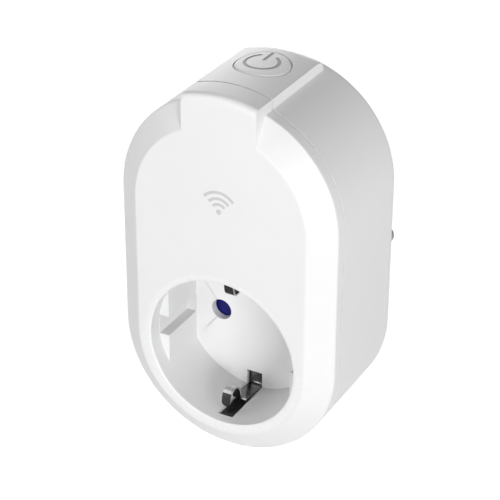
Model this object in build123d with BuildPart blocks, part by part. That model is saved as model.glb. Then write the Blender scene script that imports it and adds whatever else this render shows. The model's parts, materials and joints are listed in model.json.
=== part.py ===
from build123d import *
import os
from math import atan2, pi, tan

os.makedirs("parts", exist_ok=True)

# A wall-socket smart plug: an earthed round-pin socket in front, the matching plug behind, and
# the switching electronics in the upper half of the body.
# Frame: millimetres, +X to the right seen from the front, +Y towards the wall, +Z up.
# The origin is the middle of the plug's end face, between its two pins.
# "Depth" is measured back from the flat front face.

# ---- Body outline: two half rounds joined by straight sides ----
arc_spacing = 36.4  # from the socket axis up to the centre of the upper round
face_rim = 2.8  # of flat face left round the socket's mouth
bevel_width = 6.0  # from the flat front face out to the body's widest outline
rear_draft = 0.6  # drawn in towards the rear
bevel_depth = 4.3
seam_depth = 7.4  # parting line between front cover and rear housing
body_depth = 36.5
rear_edge_radius = 2.7
cover_wall = 2.4
housing_wall = 2.2
seam_chamfer = 0.35

# ---- Raised strip that wraps from the face over the top ----
strip_half_width = 9.7
strip_height = 2.4  # above the body's outline
strip_end_inset = 6.5  # from the body's rear
strip_end_wall = 1.8
strip_edge_radius = 1.5

# ---- Seam lip and bottom snap hook ----
lip_thickness = 1.0
lip_height = 1.8
hook_half_width = 4.0
hook_reach = 0.8
hook_length = 2.2
hook_clearance = 0.3

# ---- Socket recess ----
pin_pitch_half = 9.5  # half the spacing of the two pins
socket_radius = 19.5
mouth_draft = 0.3  # wider at the face than at the ledge
socket_depth = 17.5
rim_chamfer = 0.4
ledge_depth = 4.3  # where the round mouth ends and the keyed cup begins
key_flat_offset = 16.65
key_groove_reach = 19.3
key_groove_half_height = 2.6
well_wall = 1.4
floor_thickness = 2.0
pin_hole_radius = 2.7
sleeve_thickness = 1.2
sleeve_length = 3.6
well_clearance = 0.2
running_gap = 0.3  # between pieces that move or stand clear of each other

# ---- Plug boss ----
boss_radius = 18.5
boss_length = 18.0
boss_flat_offset = 16.2
boss_ridge_half_height = 2.1
boss_edge_chamfer = 0.6
boss_end_wall = 3.5
boss_hollow_radius = 14.6
boss_hollow_half_width = 14.0
carrier_margin = 0.6  # round the clips' tails
carrier_thickness = 3.0

# ---- Plug pins ----
pin_radius = 2.4
pin_length = 19.0
pin_shank_radius = 2.6  # inside the boss
pin_tip_chamfer = 1.2
pin_collar_radius = 3.6
pin_collar_length = 2.0
pin_tube_radius = 4.6
pin_tube_length = 9.0
fit_clearance = 0.05

# ---- Earth clips, side contacts and the hole for an earth pin ----
clip_width = 3.8
clip_thickness = 0.5
clip_tail_height = 15.0  # heights are distances from the socket axis
clip_tail_reach = 2.5  # past the carrier
clip_foot_inset = 0.9  # insets are from the socket's radius
clip_ramp_depth = 9.5
clip_ramp_inset = 2.1
clip_hump_depth = 4.6
clip_hump_height = 13.7
clip_leg_depth = 3.5
clip_leg_inset = 1.9
clip_bend_radius = 0.6
clip_hump_radius = 1.0
clip_slope_radius = 2.0
clip_slot_half_width = 2.1
clip_slot_front_depth = 2.7
clip_slot_inset = 1.5
clip_slot_margin = 0.1
earth_pin_height = 10.0
earth_pin_radius = 2.4
earth_pin_hole_radius = 2.6
earth_socket_wall = 0.5
earth_socket_length = 10.0
side_contact_half_width = 4.0
side_contact_height = 17.3
side_contact_thickness = 0.8
side_contact_setback = 3.5  # of its front end behind the body's rear
side_contact_end_gap = 0.5
bracket_thickness = 0.8

# ---- Safety shutter behind the socket floor ----
shutter_thickness = 2.2
shutter_half_width = 13.4
shutter_travel = 6.2
shutter_margin = 3.6  # material beyond the pin centre lines
shutter_window_radius = 2.8
shutter_ramp_rest = 0.6
shutter_ramp_overlap = 1.0
shutter_corner = 1.0
retainer_thickness = 1.2
rail_thickness = 1.5
rail_half_height = 10.0
shutter_stop_half_width = 5.0
stake_radius = 0.9
stake_height = 8.0
spring_seat_height = 13.3
spring_seat_thickness = 1.0
spring_seat_half_width = 2.5
spring_radius = 1.0  # of the coil, to the middle of the wire
spring_wire_radius = 0.2
spring_turns = 6
spring_peg_radius = 0.55
spring_peg_length = 1.5

# ---- Contacts for the two pins and their links ----
contact_bore_radius = 2.3
contact_wall = 0.5
contact_setback = 1.5  # of the contacts behind the shutter's retainer
contact_tube_gap = 0.2
contact_tube_wall = 1.2
contact_slit = 0.8
strap_thickness = 0.8
strap_setback = 2.0  # of the strap behind the contact's front end
contact_root_length = 3.5  # of whole sleeve behind the strap
strap_foot_height = 24.0
strap_top_height = 27.0
link_width = 2.5
link_offset = 5.5  # of the link's upright from the middle plane
link_thickness = 0.8
link_height = 11.8
link_setback = 1.0  # of the lug on the pin behind the carrier
link_riser_inset = 3.5  # of the riser from the body's rear
link_board_height = 25.3
lug_radius = 4.0

# ---- Power button on top ----
button_depth = 20.45
button_opening_radius = 6.9
button_gap = 0.3
button_travel = 0.5
button_flange_radius = 7.3
button_flange_thickness = 1.2
button_flange_drop = 1.3  # of the flange below the strip's inner surface
button_stem_radius = 1.8
button_pocket_inner_radius = 3.0
button_pocket_outer_radius = 5.3
button_pocket_depth = 2.2

# ---- Main board and what it carries ----
board_depth = 15.9
board_thickness = 1.6
board_bottom = 23.5
board_top_margin = 1.0  # above the push switch
board_inset = 4.0  # from the body's outline
board_screw_place = (20.5, 33.0)
board_post_radius = 2.4
board_screw_radius = 1.1
board_screw_length = 8.5
board_screw_head_radius = 2.1
board_screw_head_height = 1.4
switch_size = 6.0
switch_height = 3.5
switch_drop = 5.9  # of the push switch's top below the button's flange seat
plunger_radius = 1.6
plunger_length = 1.8
indicator_height = 40.6
indicator_window_radius = 6.0
indicator_window_wall = 0.8
indicator_disc_thickness = 1.6
indicator_stem_radius = 2.2
indicator_gap = 0.2
led_width = 2.0
led_height = 1.6
led_thickness = 0.8

# ---- Housing screws: two pairs, heads sunk deep in tubes from the rear ----
upper_screw_inset = (13.6, 12.0)  # from the body's outline, sideways and down from the top
lower_screw_inset = 6.6
lower_screw_height = 16.5
screw_tube_radius = 3.4
screw_bore_radius = 2.45
screw_web_front_depth = 13.0
screw_web_thickness = 3.0
screw_post_radius = 3.0
screw_radius = 1.2
screw_hole_radius = 1.45
screw_length = 10.0
screw_head_radius = 2.2
screw_head_height = 1.8
screw_pilot_radius = 1.25
prop_place = (13.2, 13.2)
prop_radius = 1.6

screw_cross_span = 2.6
screw_cross_width = 0.55
screw_cross_depth = 0.9

# ---- Smaller values of the inner pieces ----
carrier_pocket_depth = 1.0
bracket_eye_radius = 3.2
bracket_hole_radius = 1.5
earth_socket_fin_half_width = 1.2
button_edge_chamfer = 0.25
switch_corner = 0.4
plunger_clearance = 0.1
plunger_bore_depth = 1.2
component_corner = 0.6
relay_across = -12.7
relay_width = 10.2
relay_end_gap = 1.0  # above the contacts' straps
relay_head_gap = 1.2  # below the screw tubes and before the rear wall
transformer_across = 9.8
transformer_width = 12.6
transformer_head_gap = 1.0
transformer_winding_reach = 3.0  # past the core at each end
transformer_winding_width = 8.4
transformer_foot = 1.6
transformer_height = 11.5
transformer_margin = 1.2
capacitor_across = 8.2
capacitor_gap = 0.6  # to the strap below and the transformer above
capacitor_radius = 4.0
capacitor_height = 12.5
capacitor_crimp_height = 1.6
capacitor_crimp = 0.35
varistor_place = (-4.4, 34.0)
varistor_radius = 4.5
varistor_thickness = 3.4
varistor_lift = 0.8
varistor_lead_pitch = 5.0
lead_radius = 0.35
fuse_place = (19.2, 41.5)
fuse_radius = 1.6
fuse_length = 8.0
fuse_lift = 0.5
fuse_lead_reach = 1.0
fuse_lead_bend = 0.8
radio_across = 10.4
radio_head_gap = 0.6
radio_width = 14.0
radio_length = 18.0
radio_board_thickness = 0.8
shield_margin = 1.0
shield_length = 11.0
shield_height = 2.2
shield_wall = 0.3
led_corner = 0.2

# ---- Worked out from the sizes above ----
mouth_radius = socket_radius + mouth_draft
face_radius = mouth_radius + face_rim
body_radius = face_radius + bevel_width
well_radius = socket_radius + well_wall
collar_radius = well_radius + running_gap
clip_foot_height = socket_radius - clip_foot_inset
clip_ramp_height = socket_radius - clip_ramp_inset
clip_leg_height = socket_radius - clip_leg_inset
clip_slot_inner_height = socket_radius - clip_slot_inset
rear_radius = body_radius - rear_draft
strip_radius = body_radius + strip_height
strip_end_depth = body_depth - strip_end_inset
carrier_seat_depth = body_depth + carrier_thickness
carrier_seat_radius = clip_tail_height + carrier_margin
clip_tail_end_depth = carrier_seat_depth + clip_tail_reach
side_contact_front_depth = body_depth + side_contact_setback
upper_screw_across = body_radius - upper_screw_inset[0]
upper_screw_height = arc_spacing + body_radius - upper_screw_inset[1]
lower_screw_across = body_radius - lower_screw_inset
screw_places = [
    (-upper_screw_across, upper_screw_height),
    (upper_screw_across, upper_screw_height),
    (-lower_screw_across, lower_screw_height),
    (lower_screw_across, lower_screw_height),
]
front_y = -(body_depth + boss_length)
plug_end_depth = body_depth + boss_length
floor_depth = socket_depth + floor_thickness
rear_wall_depth = body_depth - housing_wall
hollow_end_depth = plug_end_depth - boss_end_wall
pin_tube_front_depth = hollow_end_depth - pin_tube_length
earth_socket_front_depth = hollow_end_depth - earth_socket_length
link_depth = carrier_seat_depth + link_setback
link_riser_depth = body_depth - link_riser_inset
cover_inside_radius = body_radius - cover_wall
housing_inside_radius = body_radius - housing_wall
housing_rear_inside_radius = rear_radius - housing_wall
bevel_angle = atan2(bevel_depth, body_radius - face_radius)
cover_inside_face_radius = face_radius - cover_wall * tan(bevel_angle / 2)
cover_inside_bevel_depth = bevel_depth + cover_wall * tan(pi / 4 - bevel_angle / 2)
shutter_front_depth = floor_depth + running_gap
shutter_back_depth = shutter_front_depth + shutter_thickness
rail_depth = shutter_back_depth + running_gap
rail_place = shutter_half_width + running_gap + rail_thickness / 2
contact_front_depth = rail_depth + retainer_thickness + contact_setback
strap_front_depth = contact_front_depth + strap_setback
strap_width = body_depth - strap_front_depth - contact_root_length
board_radius = body_radius - board_inset
board_back_depth = board_depth + board_thickness
tube_foot_height = upper_screw_height - screw_tube_radius
relay_foot = strap_top_height + relay_end_gap
relay_length = tube_foot_height - relay_head_gap - relay_foot
relay_place = (relay_across, relay_foot + relay_length / 2)
relay_height = rear_wall_depth - board_back_depth - relay_head_gap
capacitor_place = (capacitor_across, strap_top_height + capacitor_gap + capacitor_radius)
transformer_end = capacitor_place[1] + capacitor_radius + capacitor_gap
transformer_foot_height = tube_foot_height - transformer_head_gap - transformer_end
transformer_place = (transformer_across, transformer_end + transformer_foot_height / 2)
transformer_core_height = transformer_foot_height - 2 * transformer_winding_reach
radio_place = (radio_across, tube_foot_height - radio_head_gap - radio_length / 2)
button_bottom = arc_spacing + strip_radius - housing_wall - button_flange_drop
switch_top = button_bottom - switch_drop
board_top = switch_top + board_top_margin
strip_pocket_half_width = strip_half_width - housing_wall
both_pins = [(-pin_pitch_half, 0), (pin_pitch_half, 0)]
board_screw_places = [(-board_screw_place[0], board_screw_place[1]), board_screw_place]


def at_depth(depth):
    """Plane parallel to the front face, facing out of it, at a depth behind it."""
    return Plane.XZ.offset(body_depth + boss_length - depth)


def extrude_back(length, mode=Mode.ADD):
    """Extrude the pending sketch away from the front face."""
    extrude(amount=-length, mode=mode)


def stadium(radius, mode=Mode.ADD):
    """Body outline of one radius, about the socket axis and the upper round's centre."""
    with Locations((0, arc_spacing / 2)):
        SlotCenterToCenter(arc_spacing, 2 * radius, rotation=90, mode=mode)


def strip_outline(half_width, radius):
    """Outline of the raised strip: straight sides under an arc about the upper round's centre."""
    with Locations((0, arc_spacing)):
        Circle(radius)
    with Locations((0, arc_spacing + radius / 2)):
        Rectangle(2 * half_width, radius, mode=Mode.INTERSECT)


def recess_outline():
    """Keyed outline of the cup: a round with two flats, each with a groove along its middle."""
    Circle(socket_radius)
    Rectangle(2 * key_flat_offset, 2 * socket_radius, mode=Mode.INTERSECT)
    Rectangle(2 * key_groove_reach, 2 * key_groove_half_height)


def clip_slots(outer_radius):
    """The two slots, above and below the socket axis, that the earth clips work in."""
    for side in (-1, 1):
        with Locations((0, side * (outer_radius + clip_slot_inner_height) / 2)):
            Rectangle(2 * clip_slot_half_width, outer_radius - clip_slot_inner_height)


# ---- Front cover: bevelled face, half of the raised strip, round mouth of the socket ----
with BuildPart() as front_cover:
    with BuildSketch(at_depth(0)):
        stadium(face_radius)
    with BuildSketch(at_depth(bevel_depth)):
        stadium(body_radius)
    loft(ruled=True)
    with BuildSketch(at_depth(bevel_depth)):
        stadium(body_radius)
    extrude_back(seam_depth - bevel_depth)
    with BuildSketch(at_depth(0)):
        strip_outline(strip_half_width, strip_radius)
    extrude_back(seam_depth)
    strip_top_edge = (
        front_cover.edges().filter_by(GeomType.CIRCLE).group_by(Axis.Z)[-1].sort_by(Axis.Y)[0]
    )
    fillet(strip_top_edge, strip_edge_radius)
    chamfer(front_cover.faces().sort_by(Axis.Y)[-1].outer_wire().edges(), seam_chamfer)
    # hollow of one wall thickness
    with BuildSketch(at_depth(cover_wall)):
        stadium(cover_inside_face_radius)
    with BuildSketch(at_depth(cover_inside_bevel_depth)):
        stadium(cover_inside_radius)
    loft(ruled=True, mode=Mode.SUBTRACT)
    with BuildSketch(at_depth(cover_inside_bevel_depth)):
        stadium(cover_inside_radius)
    extrude_back(seam_depth - cover_inside_bevel_depth, mode=Mode.SUBTRACT)
    with BuildSketch(at_depth(cover_wall)):
        strip_outline(strip_half_width - cover_wall, strip_radius - cover_wall)
    extrude_back(seam_depth - cover_wall, mode=Mode.SUBTRACT)
    # lip that enters the rear housing, with a snap hook at the bottom
    with BuildSketch(at_depth(bevel_depth)):
        stadium(cover_inside_radius)
        stadium(cover_inside_radius - lip_thickness, mode=Mode.SUBTRACT)
    extrude_back(seam_depth + lip_height - bevel_depth)
    with BuildSketch(Plane.YZ):
        with BuildLine():
            lip_end = front_y + seam_depth + lip_height
            Polyline(
                (lip_end, -cover_inside_radius + lip_thickness),
                (lip_end + hook_length, -cover_inside_radius + lip_thickness),
                (lip_end + hook_length, -cover_inside_radius),
                (lip_end + hook_reach, -cover_inside_radius - hook_reach),
                (lip_end, -cover_inside_radius - hook_reach),
                close=True,
            )
        make_face()
    extrude(amount=hook_half_width, both=True)
    # mouth of the socket and the sleeve that holds the cup
    with BuildSketch(at_depth(cover_wall)):
        Circle(collar_radius + sleeve_thickness)
    extrude_back(ledge_depth + sleeve_length - cover_wall)
    with BuildSketch(at_depth(ledge_depth)):
        Circle(well_radius + well_clearance)
    extrude_back(sleeve_length, mode=Mode.SUBTRACT)
    with BuildSketch(at_depth(0)):
        Circle(mouth_radius)
    with BuildSketch(at_depth(ledge_depth)):
        Circle(socket_radius)
    loft(ruled=True, mode=Mode.SUBTRACT)
    rim = front_cover.faces().sort_by(Axis.Y)[0].inner_wires()[0].edges()
    chamfer(rim, rim_chamfer)
    with BuildSketch(at_depth(clip_slot_front_depth)):
        clip_slots(collar_radius - clip_slot_margin)
    extrude_back(ledge_depth - clip_slot_front_depth, mode=Mode.SUBTRACT)
    # posts for the housing screws and the main board
    with BuildSketch(at_depth(cover_wall)):
        with Locations(*screw_places):
            Circle(screw_post_radius)
    extrude_back(screw_web_front_depth - cover_wall)
    with BuildSketch(at_depth(screw_web_front_depth)):
        with Locations(*screw_places):
            Circle(screw_pilot_radius)
    extrude_back(cover_inside_bevel_depth - screw_web_front_depth, mode=Mode.SUBTRACT)
    with BuildSketch(at_depth(cover_wall)):
        with Locations(*board_screw_places):
            Circle(board_post_radius)
    extrude_back(board_depth - cover_wall)
    with BuildSketch(at_depth(board_depth)):
        with Locations(*board_screw_places):
            Circle(board_screw_radius)
    extrude_back(-board_screw_length, mode=Mode.SUBTRACT)
    # thin window behind the pictogram
    with BuildSketch(at_depth(indicator_window_wall)):
        with Locations((0, indicator_height)):
            Circle(indicator_window_radius)
    extrude_back(cover_wall - indicator_window_wall, mode=Mode.SUBTRACT)
front_cover.part.label = "front_cover"
export_step(front_cover.part, "parts/front_cover.step")

# ---- Rear housing: tapered shell, rest of the strip, plug boss ----
with BuildPart() as rear_housing:
    with BuildSketch(at_depth(seam_depth)):
        stadium(body_radius)
    with BuildSketch(at_depth(body_depth)):
        stadium(rear_radius)
    loft(ruled=True)
    fillet(rear_housing.faces().sort_by(Axis.Y)[-1].edges(), rear_edge_radius)
    with BuildSketch(at_depth(seam_depth)):
        strip_outline(strip_half_width, strip_radius)
    extrude_back(strip_end_depth - seam_depth)
    chamfer(rear_housing.faces().sort_by(Axis.Y)[0].outer_wire().edges(), seam_chamfer)
    with BuildSketch(at_depth(body_depth)):
        Circle(boss_radius)
    extrude_back(boss_length)
    chamfer(rear_housing.faces().sort_by(Axis.Y)[-1].edges(), boss_edge_chamfer)
    # key flats of the plug, each with a ridge along its middle
    with BuildSketch(at_depth(plug_end_depth)):
        for side in (-1, 1):
            for end in (-1, 1):
                with Locations((side * boss_flat_offset, end * boss_ridge_half_height)):
                    Rectangle(
                        2 * (boss_radius - boss_flat_offset),
                        boss_radius,
                        align=(Align.MIN if side > 0 else Align.MAX, Align.MIN if end > 0 else Align.MAX),
                    )
    extrude_back(-(socket_depth - ledge_depth), mode=Mode.SUBTRACT)
    # hollow of one wall thickness
    with BuildSketch(at_depth(seam_depth)):
        stadium(housing_inside_radius)
    with BuildSketch(at_depth(rear_wall_depth)):
        stadium(housing_rear_inside_radius)
    loft(ruled=True, mode=Mode.SUBTRACT)
    with BuildSketch(at_depth(seam_depth)):
        strip_outline(strip_pocket_half_width, strip_radius - housing_wall)
    extrude_back(strip_end_depth - strip_end_wall - seam_depth, mode=Mode.SUBTRACT)
    with BuildSketch(at_depth(rear_wall_depth)):
        Circle(carrier_seat_radius)
    extrude_back(carrier_seat_depth - rear_wall_depth, mode=Mode.SUBTRACT)
    with BuildSketch(at_depth(carrier_seat_depth)):
        Circle(boss_hollow_radius)
        Rectangle(2 * boss_hollow_half_width, 2 * boss_hollow_radius, mode=Mode.INTERSECT)
    extrude_back(hollow_end_depth - carrier_seat_depth, mode=Mode.SUBTRACT)
    with BuildSketch(at_depth(carrier_seat_depth)):
        Rectangle(
            clip_width + 2 * clip_slot_margin,
            2 * (clip_tail_height + clip_thickness / 2 + fit_clearance),
        )
    extrude_back(clip_tail_end_depth + fit_clearance - carrier_seat_depth, mode=Mode.SUBTRACT)
    # pocket that the cover's snap hook engages
    with BuildSketch(at_depth(seam_depth + lip_height - hook_clearance)):
        with Locations((0, -housing_inside_radius)):
            Rectangle(2 * (hook_half_width + hook_clearance), 2 * (hook_reach + hook_clearance))
    extrude_back(hook_length + 2 * hook_clearance, mode=Mode.SUBTRACT)
    # tubes round the plug pins
    with BuildSketch(at_depth(pin_tube_front_depth)):
        with Locations(*both_pins):
            Circle(pin_tube_radius)
    extrude_back(hollow_end_depth - pin_tube_front_depth)
    with BuildSketch(at_depth(link_depth)):
        with Locations(*both_pins):
            Circle(pin_collar_radius + fit_clearance)
    extrude_back(hollow_end_depth - link_depth, mode=Mode.SUBTRACT)
    with BuildSketch(at_depth(plug_end_depth)):
        with Locations(*both_pins):
            Circle(pin_shank_radius + fit_clearance)
        with Locations((0, earth_pin_height)):
            Circle(earth_pin_hole_radius)
    extrude_back(-boss_end_wall, mode=Mode.SUBTRACT)
    # recesses of the side contacts and the slots for their tabs
    for side in (-1, 1):
        with BuildSketch(at_depth(side_contact_front_depth)):
            with Locations((0, side * side_contact_height)):
                Rectangle(
                    2 * (side_contact_half_width + fit_clearance),
                    boss_radius,
                    align=(Align.CENTER, Align.MIN if side > 0 else Align.MAX),
                )
        extrude_back(boss_length, mode=Mode.SUBTRACT)
        with BuildSketch(at_depth(side_contact_front_depth)):
            with Locations((0, side * side_contact_height)):
                Rectangle(clip_width + 2 * fit_clearance, 2 * (side_contact_height - clip_tail_height))
        extrude_back(side_contact_thickness + fit_clearance, mode=Mode.SUBTRACT)
    # screw tubes with a web near the front end
    with BuildSketch(at_depth(screw_web_front_depth)):
        with Locations(*screw_places):
            Circle(screw_tube_radius)
    extrude_back(rear_wall_depth - screw_web_front_depth)
    with BuildSketch(at_depth(body_depth)):
        with Locations(*screw_places):
            Circle(screw_bore_radius)
    extrude_back(screw_web_front_depth + screw_web_thickness - body_depth, mode=Mode.SUBTRACT)
    with BuildSketch(at_depth(screw_web_front_depth)):
        with Locations(*screw_places):
            Circle(screw_hole_radius)
    extrude_back(screw_web_thickness, mode=Mode.SUBTRACT)
    # props that press the socket cup into its sleeve
    with BuildSketch(at_depth(floor_depth)):
        with Locations((-prop_place[0], -prop_place[1]), (prop_place[0], -prop_place[1])):
            Circle(prop_radius)
    extrude_back(rear_wall_depth - floor_depth)
    # opening for the power button
    with BuildSketch(Plane.XY.offset(arc_spacing + cover_inside_radius)):
        with Locations((0, front_y + button_depth)):
            Circle(button_opening_radius)
    extrude(amount=strip_radius, mode=Mode.SUBTRACT)
rear_housing.part.label = "rear_housing"
export_step(rear_housing.part, "parts/rear_housing.step")

# ---- Socket well: keyed cup with floor, pin holes, clip slots and the shutter's rails ----
with BuildPart() as socket_well:
    with BuildSketch(at_depth(ledge_depth)):
        Circle(well_radius)
    extrude_back(floor_depth - ledge_depth)
    with BuildSketch(at_depth(ledge_depth)):
        recess_outline()
    extrude_back(socket_depth - ledge_depth, mode=Mode.SUBTRACT)
    with BuildSketch(at_depth(socket_depth)):
        with Locations(*both_pins):
            Circle(pin_hole_radius)
        for side in (-1, 1):
            with Locations((0, side * (clip_tail_height - clip_thickness / 2 - clip_slot_margin))):
                Rectangle(
                    clip_width + 2 * clip_slot_margin,
                    clip_thickness / 2 + 2 * clip_slot_margin + clip_bend_radius,
                    align=(Align.CENTER, Align.MIN if side > 0 else Align.MAX),
                )
    extrude_back(floor_thickness, mode=Mode.SUBTRACT)
    with BuildSketch(at_depth(ledge_depth)):
        clip_slots(well_radius)
    extrude_back(socket_depth - ledge_depth, mode=Mode.SUBTRACT)
    # rails either side of the shutter, their heat-staked pegs, the spring's seat and the top stop
    with BuildSketch(at_depth(floor_depth)):
        with Locations((-rail_place, 0), (rail_place, 0)):
            Rectangle(rail_thickness, 2 * rail_half_height)
        with Locations((0, -spring_seat_height)):
            Rectangle(
                2 * spring_seat_half_width, spring_seat_thickness, align=(Align.CENTER, Align.MAX)
            )
        with Locations((0, shutter_travel + shutter_margin + running_gap)):
            Rectangle(
                2 * shutter_stop_half_width, rail_thickness, align=(Align.CENTER, Align.MIN)
            )
    extrude_back(rail_depth - floor_depth)
    with BuildSketch(at_depth(rail_depth)):
        with GridLocations(2 * rail_place, 2 * stake_height, 2, 2):
            Circle(stake_radius - fit_clearance)
    extrude_back(retainer_thickness)
socket_well.part.label = "socket_well"
export_step(socket_well.part, "parts/socket_well.step")

# ---- Safety shutter: covers both pin holes at rest; its ramps turn the pins' push into a slide ----
with BuildPart() as shutter:
    with BuildSketch(at_depth(shutter_front_depth)):
        with Locations((0, -shutter_margin)):
            Rectangle(
                2 * shutter_half_width,
                shutter_travel + 2 * shutter_margin,
                align=(Align.CENTER, Align.MIN),
            )
    extrude_back(shutter_thickness)
    fillet(shutter.edges().filter_by(Axis.Y), shutter_corner)
    with BuildSketch(at_depth(shutter_front_depth)):
        with Locations((-pin_pitch_half, shutter_travel), (pin_pitch_half, shutter_travel)):
            Circle(shutter_window_radius)
    extrude_back(shutter_thickness, mode=Mode.SUBTRACT)
    ramp_top = shutter_travel - shutter_window_radius + shutter_ramp_overlap
    for x, y in both_pins:
        with BuildSketch(Plane.YZ.offset(x)):
            with BuildLine():
                Polyline(
                    (front_y + shutter_front_depth, -pin_radius),
                    (front_y + shutter_back_depth - shutter_ramp_rest, ramp_top),
                    (front_y + shutter_front_depth, ramp_top),
                    close=True,
                )
            make_face()
        extrude(amount=shutter_window_radius, both=True, mode=Mode.SUBTRACT)
    spring_axis_y = front_y + (shutter_front_depth + shutter_back_depth) / 2
    with BuildSketch(Plane.XY.offset(-shutter_margin)):
        with Locations((0, spring_axis_y)):
            Circle(spring_peg_radius)
    extrude(amount=-spring_peg_length)
shutter.part.label = "shutter"
export_step(shutter.part, "parts/shutter.step")

# ---- Shutter spring: a coil standing between its seat and the shutter's lower edge ----
spring_length = spring_seat_height - shutter_margin
with BuildPart() as shutter_spring:
    with BuildLine():
        Helix(
            pitch=(spring_length - 2 * spring_wire_radius) / spring_turns,
            height=spring_length - 2 * spring_wire_radius,
            radius=spring_radius,
            center=(0, spring_axis_y, -spring_seat_height + spring_wire_radius),
        )
    spring_start = Plane(
        origin=(spring_radius, spring_axis_y, -spring_seat_height + spring_wire_radius),
        x_dir=(1, 0, 0),
        z_dir=(0, 1, 0),
    )
    with BuildSketch(spring_start):
        RegularPolygon(spring_wire_radius, 6)
    sweep(is_frenet=True)
shutter_spring.part.label = "shutter_spring"
export_step(shutter_spring.part, "parts/shutter_spring.step")

# ---- Retainer plate staked over the rails behind the shutter ----
with BuildPart() as shutter_retainer:
    with BuildSketch(at_depth(rail_depth)):
        Rectangle(2 * rail_place + rail_thickness, 2 * rail_half_height)
        with Locations((0, -rail_half_height)):
            Rectangle(
                2 * spring_seat_half_width,
                spring_seat_height + spring_seat_thickness - rail_half_height,
                align=(Align.CENTER, Align.MAX),
            )
        with Locations(*both_pins):
            Circle(pin_hole_radius + fit_clearance, mode=Mode.SUBTRACT)
        with GridLocations(2 * rail_place, 2 * stake_height, 2, 2):
            Circle(stake_radius, mode=Mode.SUBTRACT)
    extrude_back(retainer_thickness)
shutter_retainer.part.label = "shutter_retainer"
export_step(shutter_retainer.part, "parts/shutter_retainer.step")


def earth_clip(side):
    """Sprung clip on one side of the socket axis: tail, step along the floor, ramp, hump, leg."""
    tail = side * clip_tail_height
    with BuildPart() as clip:
        with BuildSketch(Plane.YZ):
            with BuildLine():
                FilletPolyline(
                    (front_y + clip_tail_end_depth, tail),
                    (front_y + socket_depth - clip_thickness / 2, tail),
                    (front_y + socket_depth - clip_thickness / 2, side * clip_foot_height),
                    (front_y + clip_ramp_depth, side * clip_ramp_height),
                    (front_y + clip_hump_depth, side * clip_hump_height),
                    (front_y + clip_leg_depth, side * clip_leg_height),
                    radius=[clip_bend_radius, clip_bend_radius, clip_slope_radius, clip_hump_radius],
                )
            trace(line_width=clip_thickness)
        extrude(amount=clip_width / 2, both=True)
    return clip.part


for side, name in ((1, "upper_earth_clip"), (-1, "lower_earth_clip")):
    clip = earth_clip(side)
    clip.label = name
    export_step(clip, f"parts/{name}.step")

# ---- Side contacts of the plug: a plate in each recess, its tab touching the clip's tail ----
tab_height = clip_tail_height + clip_thickness / 2
for side, name in ((1, "upper_side_contact"), (-1, "lower_side_contact")):
    with BuildPart() as side_contact:
        with BuildSketch(at_depth(side_contact_front_depth)):
            with Locations((0, side * side_contact_height)):
                Rectangle(
                    2 * side_contact_half_width,
                    side_contact_thickness,
                    align=(Align.CENTER, Align.MIN if side > 0 else Align.MAX),
                )
        extrude_back(plug_end_depth - side_contact_end_gap - side_contact_front_depth)
        with BuildSketch(at_depth(side_contact_front_depth)):
            with Locations((0, side * tab_height)):
                Rectangle(
                    clip_width,
                    side_contact_height + side_contact_thickness - tab_height,
                    align=(Align.CENTER, Align.MIN if side > 0 else Align.MAX),
                )
        extrude_back(side_contact_thickness)
    side_contact.part.label = name
    export_step(side_contact.part, f"parts/{name}.step")

# ---- Carrier disc in the mouth of the boss: holds the contacts and backs the plug pins ----
with BuildPart() as pin_carrier:
    with BuildSketch(at_depth(body_depth)):
        Circle(carrier_seat_radius - running_gap)
        for side in (-1, 1):
            with Locations((0, side * carrier_seat_radius)):
                Rectangle(
                    clip_width + 2 * clip_slot_margin,
                    2 * (carrier_seat_radius - clip_tail_height + clip_thickness / 2 + clip_slot_margin),
                    mode=Mode.SUBTRACT,
                )
            with Locations((side * link_offset, link_height - link_thickness / 2 - clip_slot_margin)):
                Rectangle(
                    link_width + 2 * clip_slot_margin,
                    carrier_seat_radius,
                    align=(Align.CENTER, Align.MIN),
                    mode=Mode.SUBTRACT,
                )
    extrude_back(carrier_seat_depth - body_depth)
    cup_front_depth = strap_front_depth + strap_width + contact_tube_gap
    with BuildSketch(at_depth(cup_front_depth)):
        with Locations(*both_pins):
            Circle(contact_bore_radius + contact_wall + contact_tube_gap + contact_tube_wall)
            Circle(contact_bore_radius + contact_wall + contact_tube_gap, mode=Mode.SUBTRACT)
    extrude_back(body_depth - cup_front_depth)
    with BuildSketch(at_depth(body_depth)):
        with Locations(*both_pins):
            Circle(contact_bore_radius)
    extrude_back(carrier_pocket_depth, mode=Mode.SUBTRACT)
pin_carrier.part.label = "pin_carrier"
export_step(pin_carrier.part, "parts/pin_carrier.step")

# ---- Earth bracket across the carrier, between the tails of the two clips ----
with BuildPart() as earth_bracket:
    with BuildSketch(at_depth(body_depth - bracket_thickness)):
        Rectangle(clip_width, 2 * clip_tail_height - clip_thickness)
        Circle(bracket_eye_radius)
        Circle(bracket_hole_radius, mode=Mode.SUBTRACT)
    extrude_back(bracket_thickness)
earth_bracket.part.label = "earth_bracket"
export_step(earth_bracket.part, "parts/earth_bracket.step")

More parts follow.
